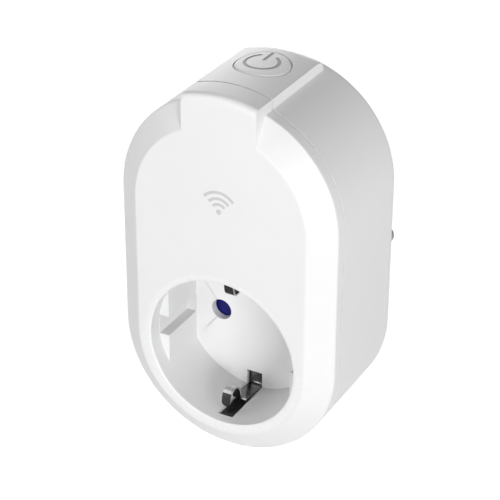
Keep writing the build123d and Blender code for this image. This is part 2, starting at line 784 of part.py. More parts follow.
# ---- Sleeve for a wall outlet's earth pin, with a fin up to the upper clip's tail ----
with BuildPart() as earth_pin_socket:
    with BuildSketch(at_depth(earth_socket_front_depth)):
        with Locations((0, earth_pin_height)):
            Circle(earth_pin_radius + earth_socket_wall)
    extrude_back(hollow_end_depth - earth_socket_front_depth)
    with BuildSketch(at_depth(earth_socket_front_depth)):
        with Locations((0, clip_tail_height - clip_thickness / 2)):
            Rectangle(
                2 * earth_socket_fin_half_width,
                clip_tail_height - earth_pin_height - clip_thickness / 2,
                align=(Align.CENTER, Align.MAX),
            )
    extrude_back(clip_tail_end_depth - earth_socket_front_depth)
    with BuildSketch(at_depth(earth_socket_front_depth)):
        with Locations((0, earth_pin_height)):
            Circle(earth_pin_radius)
    extrude_back(hollow_end_depth - earth_socket_front_depth, mode=Mode.SUBTRACT)
earth_pin_socket.part.label = "earth_pin_socket"
export_step(earth_pin_socket.part, "parts/earth_pin_socket.step")

# ---- Contacts: slit sleeves for the pins of the plug that is put in, each with a strap to the board ----
for side, name in ((-1, "line_contact"), (1, "neutral_contact")):
    with BuildPart() as contact:
        with BuildSketch(at_depth(contact_front_depth)):
            with Locations((side * pin_pitch_half, 0)):
                Circle(contact_bore_radius + contact_wall)
        extrude_back(body_depth - contact_front_depth)
        with BuildSketch(Plane.YZ.offset(side * (pin_pitch_half + contact_bore_radius + fit_clearance))):
            with BuildLine():
                Polyline(
                    (front_y + strap_front_depth, 0),
                    (front_y + strap_front_depth + strap_width, 0),
                    (front_y + strap_front_depth + strap_width, strap_top_height),
                    (front_y + board_back_depth, strap_top_height),
                    (front_y + board_back_depth, strap_foot_height),
                    (front_y + strap_front_depth, strap_foot_height),
                    close=True,
                )
            make_face()
        extrude(amount=side * strap_thickness)
        with BuildSketch(at_depth(contact_front_depth)):
            with Locations((side * pin_pitch_half, 0)):
                Circle(contact_bore_radius)
        extrude_back(body_depth - contact_front_depth, mode=Mode.SUBTRACT)
        with BuildSketch(at_depth(contact_front_depth)):
            with Locations((side * pin_pitch_half, 0)):
                Rectangle(contact_slit, 2 * (contact_bore_radius + 2 * contact_wall))
        extrude_back(strap_front_depth + strap_width - contact_front_depth, mode=Mode.SUBTRACT)
    contact.part.label = name
    export_step(contact.part, f"parts/{name}.step")

# ---- Plug pins, collared against the boss's end wall, and their links up to the board ----
for side, pin_name, link_name in ((-1, "plug_pin_left", "line_link"), (1, "plug_pin_right", "neutral_link")):
    with BuildPart() as plug_pin:
        with BuildSketch(at_depth(carrier_seat_depth)):
            with Locations((side * pin_pitch_half, 0)):
                Circle(pin_shank_radius)
        extrude_back(plug_end_depth - carrier_seat_depth)
        with BuildSketch(at_depth(plug_end_depth)):
            with Locations((side * pin_pitch_half, 0)):
                Circle(pin_radius)
        extrude_back(pin_length)
        chamfer(plug_pin.faces().sort_by(Axis.Y)[-1].edges(), pin_tip_chamfer)
        with BuildSketch(at_depth(hollow_end_depth - pin_collar_length)):
            with Locations((side * pin_pitch_half, 0)):
                Circle(pin_collar_radius)
        extrude_back(pin_collar_length)
    plug_pin.part.label = pin_name
    export_step(plug_pin.part, f"parts/{pin_name}.step")
    with BuildPart() as link:
        with BuildSketch(at_depth(link_depth)):
            with Locations((side * pin_pitch_half, 0)):
                Circle(lug_radius)
            with Locations((side * link_offset, 0)):
                Rectangle(link_width, link_height - link_thickness, align=(Align.CENTER, Align.MIN))
            with Locations((side * pin_pitch_half, 0)):
                Circle(pin_shank_radius + fit_clearance, mode=Mode.SUBTRACT)
        extrude_back(link_thickness)
        with BuildSketch(Plane.YZ.offset(side * link_offset)):
            with BuildLine():
                FilletPolyline(
                    (front_y + link_depth + link_thickness / 2, link_height / 2),
                    (front_y + link_depth + link_thickness / 2, link_height),
                    (front_y + link_riser_depth, link_height),
                    (front_y + link_riser_depth, link_board_height),
                    (front_y + board_back_depth, link_board_height),
                    radius=link_thickness,
                )
            trace(line_width=link_thickness)
        extrude(amount=link_width / 2, both=True)
    link.part.label = link_name
    export_step(link.part, f"parts/{link_name}.step")

# ---- Power button: cap that follows the strip's curve, flange under the wall, stem to the switch ----
with BuildPart() as power_button:
    button_base = Plane.XY.offset(button_bottom)
    with BuildSketch(button_base):
        with Locations((0, front_y + button_depth)):
            Circle(button_opening_radius - button_gap)
    extrude(amount=strip_radius)
    with BuildSketch(at_depth(strip_end_depth)):
        with Locations((0, arc_spacing)):
            Circle(strip_radius)
    extrude_back(seam_depth - strip_end_depth, mode=Mode.INTERSECT)
    chamfer(power_button.faces().sort_by(Axis.Z)[-1].edges(), button_edge_chamfer)
    with BuildSketch(button_base):
        with Locations((0, front_y + button_depth)):
            Circle(button_flange_radius)
    extrude(amount=-button_flange_thickness)
    with BuildSketch(button_base.offset(-button_flange_thickness)):
        with Locations((0, front_y + button_depth)):
            Circle(button_pocket_outer_radius)
            Circle(button_pocket_inner_radius, mode=Mode.SUBTRACT)
    extrude(amount=button_pocket_depth, mode=Mode.SUBTRACT)
    with BuildSketch(button_base.offset(-button_flange_thickness)):
        with Locations((0, front_y + button_depth)):
            Circle(button_stem_radius)
    extrude(amount=switch_top + plunger_length - button_bottom + button_flange_thickness)
power_button.part.label = "power_button"
export_step(power_button.part, "parts/power_button.step")

# ---- Push switch under the button: square body on the board, plunger in its bore ----
with BuildPart() as tact_switch:
    with BuildSketch(at_depth(board_back_depth)):
        with Locations((0, switch_top)):
            Rectangle(switch_size, switch_height, align=(Align.CENTER, Align.MAX))
    extrude_back(2 * (button_depth - board_back_depth))
    chamfer(tact_switch.edges().filter_by(Axis.Z), switch_corner)
    with BuildSketch(Plane.XY.offset(switch_top)):
        with Locations((0, front_y + button_depth)):
            Circle(plunger_radius + plunger_clearance)
    extrude(amount=-plunger_bore_depth, mode=Mode.SUBTRACT)
tact_switch.part.label = "tact_switch"
export_step(tact_switch.part, "parts/tact_switch.step")

with BuildPart() as switch_plunger:
    with BuildSketch(Plane.XY.offset(switch_top + plunger_length)):
        with Locations((0, front_y + button_depth)):
            Circle(plunger_radius)
    extrude(amount=-(plunger_length + plunger_bore_depth - button_travel - plunger_clearance))
switch_plunger.part.label = "switch_plunger"
export_step(switch_plunger.part, "parts/switch_plunger.step")

# ---- Main board: follows the upper round, notched for the screw tubes ----
with BuildPart() as main_board:
    with BuildSketch(at_depth(board_depth)):
        stadium(board_radius)
        with Locations((0, board_bottom)):
            Rectangle(
                2 * board_radius,
                board_top - board_bottom,
                align=(Align.CENTER, Align.MIN),
                mode=Mode.INTERSECT,
            )
        with Locations(*screw_places):
            Circle(screw_tube_radius + running_gap, mode=Mode.SUBTRACT)
        with Locations(*board_screw_places):
            Circle(board_screw_radius + fit_clearance, mode=Mode.SUBTRACT)
    extrude_back(board_thickness)
main_board.part.label = "main_board"
export_step(main_board.part, "parts/main_board.step")

# ---- Relay: sealed box ----
with BuildPart() as relay:
    with BuildSketch(at_depth(board_back_depth)):
        with Locations(relay_place):
            RectangleRounded(relay_width, relay_length, component_corner)
    extrude_back(relay_height)
    chamfer(relay.faces().sort_by(Axis.Y)[-1].edges(), component_corner / 2)
relay.part.label = "relay"
export_step(relay.part, "parts/relay.step")

# ---- Transformer: paired cores round a wound bobbin ----
with BuildPart() as transformer:
    with BuildSketch(at_depth(board_back_depth)):
        with Locations(transformer_place):
            RectangleRounded(transformer_width, transformer_foot_height, component_corner)
    extrude_back(transformer_foot)
    with BuildSketch(at_depth(board_back_depth + transformer_foot)):
        with Locations(transformer_place):
            Rectangle(transformer_width, transformer_core_height)
    extrude_back(transformer_height - transformer_foot)
    with BuildSketch(at_depth(board_back_depth + transformer_foot)):
        with Locations(transformer_place):
            RectangleRounded(transformer_winding_width, transformer_foot_height, component_corner)
    extrude_back(transformer_height - transformer_foot - transformer_margin)
transformer.part.label = "transformer"
export_step(transformer.part, "parts/transformer.step")

# ---- Electrolytic capacitor: can with a crimp near its foot ----
with BuildPart() as capacitor:
    with BuildSketch(at_depth(board_back_depth)):
        with Locations(capacitor_place):
            Circle(capacitor_radius)
    extrude_back(capacitor_height)
    chamfer(capacitor.faces().sort_by(Axis.Y)[-1].edges(), component_corner / 2)
    with BuildSketch(at_depth(board_back_depth + capacitor_crimp_height)):
        with Locations(capacitor_place):
            Circle(capacitor_radius)
            Circle(capacitor_radius - capacitor_crimp, mode=Mode.SUBTRACT)
    extrude_back(2 * capacitor_crimp, mode=Mode.SUBTRACT)
capacitor.part.label = "capacitor"
export_step(capacitor.part, "parts/capacitor.step")

# ---- Varistor: coated disc standing on two leads ----
with BuildPart() as varistor:
    with BuildSketch(Plane.YZ.offset(varistor_place[0])):
        with Locations((front_y + board_back_depth + varistor_lift + varistor_radius, varistor_place[1])):
            Circle(varistor_radius)
    extrude(amount=varistor_thickness / 2, both=True)
    chamfer(varistor.edges(), component_corner)
    with BuildSketch(at_depth(board_back_depth)):
        with Locations(varistor_place):
            with GridLocations(0, varistor_lead_pitch, 1, 2):
                Circle(lead_radius)
    extrude_back(varistor_lift + varistor_radius)
varistor.part.label = "varistor"
export_step(varistor.part, "parts/varistor.step")

# ---- Fuse: capped tube lying along the board on two bent leads ----
with BuildPart() as fuse:
    with BuildSketch(Plane.XY.offset(fuse_place[1] - fuse_length / 2)):
        with Locations((fuse_place[0], front_y + board_back_depth + fuse_radius + fuse_lift)):
            Circle(fuse_radius)
    extrude(amount=fuse_length)
    chamfer(fuse.edges(), component_corner / 2)
    fuse_foot = fuse_place[1] - fuse_length / 2 - fuse_lead_reach
    fuse_head = fuse_place[1] + fuse_length / 2 + fuse_lead_reach
    with BuildSketch(Plane.YZ.offset(fuse_place[0])):
        with BuildLine():
            FilletPolyline(
                (front_y + board_back_depth, fuse_foot),
                (front_y + board_back_depth + fuse_radius + fuse_lift, fuse_foot),
                (front_y + board_back_depth + fuse_radius + fuse_lift, fuse_head),
                (front_y + board_back_depth, fuse_head),
                radius=fuse_lead_bend,
            )
        trace(line_width=2 * lead_radius)
    extrude(amount=lead_radius, both=True)
fuse.part.label = "fuse"
export_step(fuse.part, "parts/fuse.step")

# ---- Radio module on the board's front face: small board and shield can ----
with BuildPart() as radio_board:
    with BuildSketch(at_depth(board_depth - radio_board_thickness)):
        with Locations(radio_place):
            Rectangle(radio_width, radio_length)
    extrude_back(radio_board_thickness)
radio_board.part.label = "radio_board"
export_step(radio_board.part, "parts/radio_board.step")

with BuildPart() as radio_shield:
    with BuildSketch(at_depth(board_depth - radio_board_thickness - shield_height)):
        with Locations((radio_place[0], radio_place[1] - radio_length / 2 + shield_margin)):
            Rectangle(
                radio_width - 2 * shield_margin,
                shield_length,
                align=(Align.CENTER, Align.MIN),
            )
    extrude_back(shield_height)
    fillet(radio_shield.edges().filter_by(Axis.Y), component_corner)
    offset(amount=-shield_wall, openings=radio_shield.faces().sort_by(Axis.Y)[-1])
radio_shield.part.label = "radio_shield"
export_step(radio_shield.part, "parts/radio_shield.step")

# ---- Indicator: lamp on the board and the guide that lights the thin window ----
with BuildPart() as status_led:
    with BuildSketch(at_depth(board_depth - led_thickness)):
        with Locations((0, indicator_height)):
            RectangleRounded(led_width, led_height, led_corner)
    extrude_back(led_thickness)
status_led.part.label = "status_led"
export_step(status_led.part, "parts/status_led.step")

with BuildPart() as light_guide:
    with BuildSketch(at_depth(indicator_window_wall)):
        with Locations((0, indicator_height)):
            Circle(indicator_window_radius - indicator_gap)
    extrude_back(indicator_disc_thickness)
    with BuildSketch(at_depth(indicator_window_wall + indicator_disc_thickness)):
        with Locations((0, indicator_height)):
            Circle(indicator_stem_radius)
    extrude_back(
        board_depth - led_thickness - indicator_gap - indicator_window_wall - indicator_disc_thickness
    )
light_guide.part.label = "light_guide"
export_step(light_guide.part, "parts/light_guide.step")

# ---- Screws ----
with BuildPart() as board_screws:
    with BuildSketch(at_depth(board_back_depth)):
        with Locations(*board_screw_places):
            Circle(board_screw_head_radius)
    extrude_back(board_screw_head_height)
    chamfer(board_screws.faces().sort_by(Axis.Y)[-2:].edges(), component_corner / 2)
    with BuildSketch(at_depth(board_back_depth)):
        with Locations(*board_screw_places):
            Circle(board_screw_radius)
    extrude_back(-board_screw_length)
board_screws.part.label = "board_screws"
export_step(board_screws.part, "parts/board_screws.step")

screw_seat_depth = screw_web_front_depth + screw_web_thickness
with BuildPart() as housing_screws:
    with BuildSketch(at_depth(screw_seat_depth)):
        with Locations(*screw_places):
            Circle(screw_head_radius)
    extrude_back(screw_head_height)
    chamfer(housing_screws.faces().sort_by(Axis.Y)[-4:].edges(), component_corner)
    with BuildSketch(at_depth(screw_seat_depth)):
        with Locations(*screw_places):
            Circle(screw_radius)
    extrude_back(-screw_length)
    with BuildSketch(at_depth(screw_seat_depth + screw_head_height)):
        with Locations(*screw_places):
            Rectangle(screw_cross_span, screw_cross_width)
            Rectangle(screw_cross_width, screw_cross_span)
    extrude_back(-screw_cross_depth, mode=Mode.SUBTRACT)
housing_screws.part.label = "housing_screws"
export_step(housing_screws.part, "parts/housing_screws.step")
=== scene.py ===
import json
from math import asin, atan2, cos, pi, radians, sin, sqrt

import bmesh
import bpy
from mathutils import Euler, Matrix, Vector


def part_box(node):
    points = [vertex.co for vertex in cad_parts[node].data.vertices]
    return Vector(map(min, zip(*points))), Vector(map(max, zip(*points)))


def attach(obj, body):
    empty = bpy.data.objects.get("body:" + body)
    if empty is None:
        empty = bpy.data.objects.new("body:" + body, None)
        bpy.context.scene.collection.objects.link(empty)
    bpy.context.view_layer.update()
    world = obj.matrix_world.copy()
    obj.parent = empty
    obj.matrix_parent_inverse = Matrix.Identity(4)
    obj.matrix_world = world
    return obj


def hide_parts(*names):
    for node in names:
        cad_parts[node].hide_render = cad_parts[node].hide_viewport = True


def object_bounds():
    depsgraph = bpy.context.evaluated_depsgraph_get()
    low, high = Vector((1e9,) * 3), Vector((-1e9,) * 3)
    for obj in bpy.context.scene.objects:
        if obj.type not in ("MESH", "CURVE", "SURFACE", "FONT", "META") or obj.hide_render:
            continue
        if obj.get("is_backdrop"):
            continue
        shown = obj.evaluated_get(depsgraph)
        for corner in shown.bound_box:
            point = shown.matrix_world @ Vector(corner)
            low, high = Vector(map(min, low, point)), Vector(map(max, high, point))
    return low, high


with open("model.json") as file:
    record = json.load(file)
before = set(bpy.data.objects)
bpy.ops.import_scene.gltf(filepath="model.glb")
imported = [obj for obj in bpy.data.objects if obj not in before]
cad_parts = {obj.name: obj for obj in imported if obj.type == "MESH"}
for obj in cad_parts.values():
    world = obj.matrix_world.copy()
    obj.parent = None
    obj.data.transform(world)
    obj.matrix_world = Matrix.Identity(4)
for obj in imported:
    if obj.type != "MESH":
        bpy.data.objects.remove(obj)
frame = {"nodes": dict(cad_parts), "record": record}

bl_info = {
    "name": "Smart Plug",
    "version": (1, 0, 0),
    "blender": (4, 5, 0),
    "location": "3D View > Sidebar > Smart Plug",
    "description": "Builds the visible shells, button, clips, pins and finishes of a smart plug",
    "category": "Object",
}

MM = 0.001
MERGE = 2e-6  # points nearer than this are one
ON_PLANE = 5e-6
SMOOTH_BELOW = radians(33)
STEPS = 96  # of a half round of the outline
STRIP_STEPS = 24  # across the strip
ORIGIN = (0, 0, 0)
UP = (0, 0, 1)
SOCKET_AXIS = (0, 1, 0)
OUT_AND_UP = (0, -1, 0)  # spin axis that carries the right side over the top

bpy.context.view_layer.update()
cover_low, cover_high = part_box("front_cover")
housing_low, housing_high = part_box("rear_housing")
FRONT = cover_low.y  # the flat front face
BODY_RADIUS = cover_high.x
SEAM = housing_low.y - FRONT  # depths are measured back from the front face
PLUG_END = housing_high.y - FRONT


def length(name, text, default):
    """A size in metres, given in millimetres."""
    return bpy.props.FloatProperty(
        name=name, description=text, default=default * MM, unit="LENGTH", precision=5, min=0.0
    )


def colour(name, text, default):
    """A linear colour that a user may change."""
    return bpy.props.FloatVectorProperty(
        name=name, description=text, default=default, subtype="COLOR", size=3, min=0.0, max=1.0
    )


# ---------------------------------------------------------------- settings


class ShellSizes(bpy.types.PropertyGroup):
    spacing: length("Arc spacing", "From the socket axis up to the upper round's centre", 36.4)
    face_radius: length("Face radius", "Round ends of the flat front face", 22.6)
    bevel_depth: length("Bevel depth", "Depth at which the bevel meets the side", 4.3)
    face_rounding: length("Face rounding", "Run of the rounding between face and bevel", 0.35)
    side_rounding: length("Side rounding", "Run of the rounding between bevel and side", 0.3)
    body_depth: length("Body depth", "From the front face to the body's rear", 36.5)
    rear_draft: length("Rear draft", "How far the side draws in towards the rear", 0.6)
    rear_rounding: length("Rear rounding", "Radius of the rear edge", 2.7)
    wall: length("Wall", "Thickness of the moulded walls", 2.2)
    seam_gap: length("Seam gap", "Half the gap between cover and housing", 0.17)
    seam_chamfer: length("Seam chamfer", "Small chamfer along the parting line", 0.06)
    strip_half_width: length("Strip half width", "Half the width of the raised strip", 9.7)
    strip_radius: length("Strip radius", "Top of the strip, about the upper round's centre", 31.0)
    strip_end: length("Strip end", "Depth at which the strip ends", 32.32)
    strip_rounding: length("Strip rounding", "Rounding where the face turns over into the strip", 1.5)
    strip_edge: length("Strip edge", "Rounding along the strip's sides", 0.16)
    strip_roll: length("Strip roll", "Height of the roll-over at the strip's far end", 2.29)
    strip_run: length("Strip run", "Length of the roll-over at the strip's far end", 3.6)


class SocketSizes(bpy.types.PropertyGroup):
    mouth_radius: length("Mouth radius", "Round mouth at the face", 19.5)
    radius: length("Recess radius", "Round of the recess", 19.5)
    depth: length("Recess depth", "From the face to the socket floor", 17.5)
    rim: length("Rim rounding", "Rounding of the mouth's edge", 0.3)
    band: length("Rim band", "Width of the shallow band round the mouth", 0.85)
    band_depth: length("Rim band depth", "How far the band falls towards the mouth", 0.1)
    ledge: length("Ledge depth", "Where the keyed cup begins", 4.3)
    flat: length("Key flat", "From the middle to each key flat", 16.65)
    groove: length("Key groove", "Reach of the groove in each flat", 19.3)
    groove_half: length("Groove half height", "Half the height of the groove", 2.6)
    edge: length("Cup edge", "Small rounding of the cup's edges", 0.22)
    well_radius: length("Well radius", "Outside of the cup", 20.9)
    floor: length("Floor thickness", "Thickness of the socket floor", 2.0)
    pin_pitch_half: length("Pin offset", "From the middle to each pin", 9.5)
    pin_hole: length("Pin hole radius", "Holes in the socket floor", 2.7)
    slot_half: length("Slot half width", "Half the width of the earth clip's slot", 2.1)
    slot_front: length("Slot front", "Depth at which the slot begins", 2.7)
    window: length("Window height", "From the axis to the window in the socket floor", 15.3)
    slot_wall: length("Slot wall", "From the axis to the thinned wall's outside at the slot", 20.35)
    slot_outer: length("Slot outer height", "Reach of the slot, past the collar", 22.5)
    rebate_half: length("Rebate half width", "Half the width of the thinned wall at the slot", 3.4)


class ButtonSizes(bpy.types.PropertyGroup):
    depth: length("Button depth", "Depth of the button's middle", 20.45)
    opening: length("Opening radius", "Hole in the strip", 6.9)
    cap: length("Cap radius", "The moving cap", 6.62)
    rounding: length("Cap rounding", "Rounding of the cap's edge", 0.4)
    proud: length("Cap height", "How far the cap stands out of the strip", 0.15)
    lip: length("Cap lip", "Lip under the cap's edge, which closes the gap", 6.86)
    gap_depth: length("Gap depth", "Depth of the ring round the cap", 0.55)
    flange: length("Flange radius", "Flange under the wall", 7.3)
    flange_thickness: length("Flange thickness", "Thickness of the flange", 1.2)
    stem: length("Stem radius", "Stem down to the switch", 1.8)
    sign_across: length("Sign across", "Sideways offset of the power sign, to the left", 0.45)
    sign_depth: length("Sign depth", "Depth of the power sign's middle", 21.0)
    sign_radius: length("Sign radius", "Middle of the engraved round", 4.0)
    sign_width: length("Sign width", "Width of the engraved line", 0.85)
    sign_cut: length("Sign cut", "Depth of the engraving", 0.14)
    sign_gap: bpy.props.FloatProperty(
        name="Sign gap", description="Half angle of the round's gap", default=radians(33), subtype="ANGLE"
    )
    bar_start: length("Bar start", "Inner end of the bar, from the sign's middle", 0.7)
    bar_end: length("Bar end", "Outer end of the bar, from the sign's middle", 5.45)


class FinishColours(bpy.types.PropertyGroup):
    white: colour("White shell", "Moulded shells", (0.84, 0.84, 0.845))
    # painted light: the cup's floor and ledges take a lighter white than the shell
    well: colour("Socket cup", "Floor and ledges of the socket cup", (0.87, 0.87, 0.875))
    # painted shade: a darker copy of the cup white for its walls and grooves
    well_wall: colour("Cup wall", "Walls of the socket cup", (0.74, 0.74, 0.745))
    # painted light: a lighter white than the shell, for the band round the mouth
    rim: colour("Rim band", "Band round the mouth", (0.87, 0.87, 0.875))
    print_grey: colour("Printed sign", "The wireless sign", (0.60, 0.60, 0.61))
    # painted shade: a darker grey for the engraving's floor and walls
    sign_grey: colour("Engraved sign", "Floor of the power sign", (0.5, 0.5, 0.51))
    shutter: colour("Shutter blue", "Safety shutter", (0.012, 0.010, 0.16))
    nickel: colour("Nickel", "Plated pins and clips", (0.19, 0.188, 0.185))
    # painted highlight: a bright copy of the nickel for the clips' side faces
    edge: colour("Sheared edge", "Bright edges of the clips", (0.78, 0.77, 0.76))


class StageSettings(bpy.types.PropertyGroup):
    azimuth: bpy.props.FloatProperty(
        name="Azimuth", description="Camera angle round the plug", default=radians(29.04), subtype="ANGLE"
    )
    elevation: bpy.props.FloatProperty(
        name="Elevation", description="Camera angle above level", default=radians(29.78), subtype="ANGLE"
    )
    roll: bpy.props.FloatProperty(
        name="Roll", description="Camera turn about its line of sight", default=radians(0.2), subtype="ANGLE"
    )
    distance: length("Distance", "From the camera to the point it aims at", 450.85)
    aim_across: length("Aim across", "Sideways place of the aim point", 0.36)
    aim_back: length("Aim back", "Depth of the aim point", 14.2)
    aim_up: length("Aim up", "Height of the aim point", 21.36)
    lens: bpy.props.FloatProperty(
        name="Lens", description="Focal length in millimetres", default=136.1, min=1.0
    )
    lamp_level: bpy.props.FloatProperty(
        name="Lamp level", description="Strength of all lamps together", default=1.0, min=0.0
    )
    lamp_distance: length("Lamp distance", "From each lamp to the plug", 900)
    lamp_width: length("Lamp width", "Width of each round lamp", 400)
    room_level: bpy.props.FloatProperty(
        name="Room level", description="Even light from the room", default=0.0, min=0.0
    )


GROUPS = {
    "plug_shell": ShellSizes,
    "plug_socket": SocketSizes,
    "plug_button": ButtonSizes,
    "plug_finish": FinishColours,
    "plug_stage": StageSettings,
}


# ---------------------------------------------------------------- modelling helpers


def new_point(bm, place):
    return bmesh.ops.create_vert(bm, co=place)["vert"][0]


def line_to(bm, point, place):
    """Draws a straight edge on from a point and gives its new end."""
    end = bmesh.ops.extrude_vert_indiv(bm, verts=[point])["verts"][0]
    end.co = place
    return end


def arc_to(bm, point, centre, axis, angle, steps):
    """Draws an arc on from a point and gives its new end."""
    made = bmesh.ops.spin(
        bm, geom=[point], cent=centre, axis=axis, angle=angle, steps=steps, use_duplicate=False
    )
    return next(g for g in made["geom_last"] if isinstance(g, bmesh.types.BMVert))


def round_corners(bm, points, run, segments):
    bmesh.ops.bevel(
        bm, geom=points, offset=run, offset_type="OFFSET", segments=segments, profile=0.5,
        affect="VERTICES", material=-1,
    )


def wire(bm, places, rounds=None, segments=4):
    """Chain of edges through places. rounds gives the run of a rounding at a corner, by its number."""
    before = set(bm.edges)
    points = [new_point(bm, places[0])]
    for place in places[1:]:
        points.append(line_to(bm, points[-1], place))
    for number, run in (rounds or {}).items():
        round_corners(bm, [points[number]], run, segments)
    return [e for e in bm.edges if e not in before]


def with_verts(edges):
    """The edges and their end points, always in the same order, as the operators take them."""
    return list(dict.fromkeys(v for e in edges for v in e.verts)) + list(edges)


def edges_of(made):
    return [g for g in made if isinstance(g, bmesh.types.BMEdge)]


def turn(bm, edges, centre, axis, angle, steps, merge=False):
    """Spins edges about an axis and gives the last copy."""
    made = bmesh.ops.spin(
        bm, geom=with_verts(edges), cent=centre, axis=axis, angle=angle, steps=steps,
        use_merge=merge, use_duplicate=False,
    )
    return edges_of(made["geom_last"])


def pull(bm, edges, offset, steps=1):
    """Draws edges out in a straight line and gives the last copy."""
    made = bmesh.ops.spin(
        bm, geom=with_verts(edges), cent=ORIGIN, axis=UP, angle=0, steps=steps,
        dvec=Vector(offset) / steps, use_duplicate=False,
    )
    return edges_of(made["geom_last"])


def merge_doubles(bm):
    bmesh.ops.remove_doubles(bm, verts=bm.verts[:], dist=MERGE)


def circle(bm, centre, radius, steps, axis=SOCKET_AXIS):
    """Closed ring of edges about an axis along Y or Z."""
    start = new_point(bm, Vector(centre) + Vector((radius, 0, 0)))
    before = set(bm.edges)
    bmesh.ops.spin(
        bm, geom=[start], cent=centre, axis=axis, angle=2 * pi, steps=steps, use_merge=True
    )
    return [e for e in bm.edges if e not in before]


def lathe(bm, profile, rounds=None, x=0, z=0, steps=2 * STEPS, segments=4):
    """Spins a profile of (radius, Y) once about the axis along Y through x and z."""
    edges = wire(bm, [(x + radius, y, z) for radius, y in profile], rounds, segments)
    turn(bm, edges, (x, 0, z), SOCKET_AXIS, 2 * pi, steps, merge=True)


def fill_flat(bm, edges):
    """Fills a flat region, holes left open, between closed rings of edges."""
    return bmesh.ops.triangle_fill(bm, use_beauty=True, use_dissolve=False, edges=edges)


def cap(bm, edges):
    """One face over one closed ring of edges."""
    return bmesh.ops.contextual_create(bm, geom=edges)["faces"]


def at_depth(depth):
    """Test for a place at a depth behind the face."""
    return lambda place: abs(place.y - FRONT - depth) < ON_PLANE


def open_edges(bm, test):
    """Edges with fewer than two faces, both ends of which pass a test."""
    return [e for e in bm.edges if len(e.link_faces) < 2 and all(test(v.co) for v in e.verts)]


def soften(bm, edges, run, segments=3):
    """Rounds edges off over a short run."""
    bmesh.ops.recalc_face_normals(bm, faces=bm.faces[:])
    bmesh.ops.bevel(
        bm, geom=with_verts(edges), offset=run, offset_type="OFFSET", segments=segments,
        profile=0.5, affect="EDGES", material=-1, clamp_overlap=True, loop_slide=True,
    )


def show(name, data):
    """New object at the origin, in the scene."""
    made = bpy.data.objects.new(name, data)
    bpy.context.scene.collection.objects.link(made)
    return made


def make_piece(name, bm, finishes, body, replaces=(), crisp=True, must_close=True):
    """Turns a bmesh into a piece, with finishes by name, that rides on a body of the frame."""
    merge_doubles(bm)
    bmesh.ops.dissolve_degenerate(bm, dist=1e-7, edges=bm.edges[:])
    bmesh.ops.recalc_face_normals(bm, faces=bm.faces[:])
    loose = [e for e in bm.edges if not e.is_manifold]
    if loose and must_close:
        spots = [tuple(round(c / MM, 2) for c in e.verts[0].co) for e in loose[:6]]
        raise RuntimeError(f"{name}: {len(loose)} edges are open or shared, at {spots}")
    for face in bm.faces:
        face.smooth = True
    for edge in bm.edges:
        edge.smooth = edge.calc_face_angle(0.0) < SMOOTH_BELOW
    mesh = bpy.data.meshes.new(name)
    bm.to_mesh(mesh)
    bm.free()
    for kind in finishes:
        mesh.materials.append(finish(kind))
    piece = show(name, mesh)
    if crisp:
        level = piece.modifiers.new("Even normals", "WEIGHTED_NORMAL")
        level.keep_sharp = True
        level.weight = 50
    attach(piece, body)
    if replaces:
        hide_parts(*replaces)


def block(bm, low, high):
    """Box between two corners."""
    low, high = Vector(low), Vector(high)
    place = Matrix.Translation((low + high) / 2) @ Matrix.Diagonal((*(high - low), 1))
    bmesh.ops.create_cube(bm, size=1.0, matrix=place)


def rod(bm, start, end, radius, steps=64):
    """Closed cylinder between two points."""
    start, end = Vector(start), Vector(end)
    along = end - start
    place = Matrix.Translation((start + end) / 2) @ along.to_track_quat("Z", "Y").to_matrix().to_4x4()
    bmesh.ops.create_cone(
        bm, cap_ends=True, cap_tris=False, segments=steps, radius1=radius, radius2=radius,
        depth=along.length, matrix=place,
    )


def carve(bm, cutter):
    """Cuts one bmesh out of another and gives the result as a new bmesh."""
    solids = []
    for part in (bm, cutter):
        merge_doubles(part)
        bmesh.ops.recalc_face_normals(part, faces=part.faces[:])
        mesh = bpy.data.meshes.new("carving")
        part.to_mesh(mesh)
        part.free()
        solids.append(show("carving", mesh))
    cut = solids[0].modifiers.new("Cut", "BOOLEAN")
    cut.operation = "DIFFERENCE"
    cut.solver = "EXACT"
    cut.object = solids[1]
    graph = bpy.context.evaluated_depsgraph_get()
    result = bpy.data.meshes.new_from_object(solids[0].evaluated_get(graph))
    made = bmesh.new()
    made.from_mesh(result)
    for mesh in (result, *[solid.data for solid in solids]):
        bpy.data.meshes.remove(mesh)
    return made


def absorb(bm, skin):
    """Takes another bmesh's faces into this one."""
    mesh = bpy.data.meshes.new("skin")
    skin.to_mesh(mesh)
    skin.free()
    bm.from_mesh(mesh)
    bpy.data.meshes.remove(mesh)
    merge_doubles(bm)


# ---------------------------------------------------------------- shells


def outline_band(bm, points, rounds, spacing):
    """Sweeps a (radius, depth) profile once round the stadium outline."""
    edges = wire(bm, [(r, FRONT + d, 0) for r, d in points], rounds)
    top = pull(bm, edges, (0, 0, spacing))
    side = turn(bm, top, (0, 0, spacing), OUT_AND_UP, pi, STEPS)
    foot = pull(bm, side, (0, 0, -spacing))
    turn(bm, foot, ORIGIN, OUT_AND_UP, pi, STEPS)
    merge_doubles(bm)


def split_at(bm, faces, point, normal):
    """Cuts faces along a plane, keeping both sides."""
    edges = dict.fromkeys(e for f in faces for e in f.edges)
    points = dict.fromkeys(v for f in faces for v in f.verts)
    bmesh.ops.bisect_plane(
        bm, geom=[*faces, *edges, *points], dist=1e-8, plane_co=point, plane_no=normal
    )


def middle(face):
    return face.calc_center_median()


def open_for_strip(bm, half_width, spacing, end=None):
    """Takes out the part of the body band that the strip covers."""
    def upper(reach):
        return [f for f in bm.faces if middle(f).z > spacing and abs(middle(f).x) < reach]

    for side in (-1, 1):
        split_at(bm, upper(BODY_RADIUS), (side * half_width, 0, 0), (1, 0, 0))
    if end is not None:
        split_at(bm, upper(half_width), (0, FRONT + end, 0), (0, 1, 0))
    covered = [f for f in upper(half_width) if end is None or middle(f).y < FRONT + end]
    bmesh.ops.delete(bm, geom=covered, context="FACES")


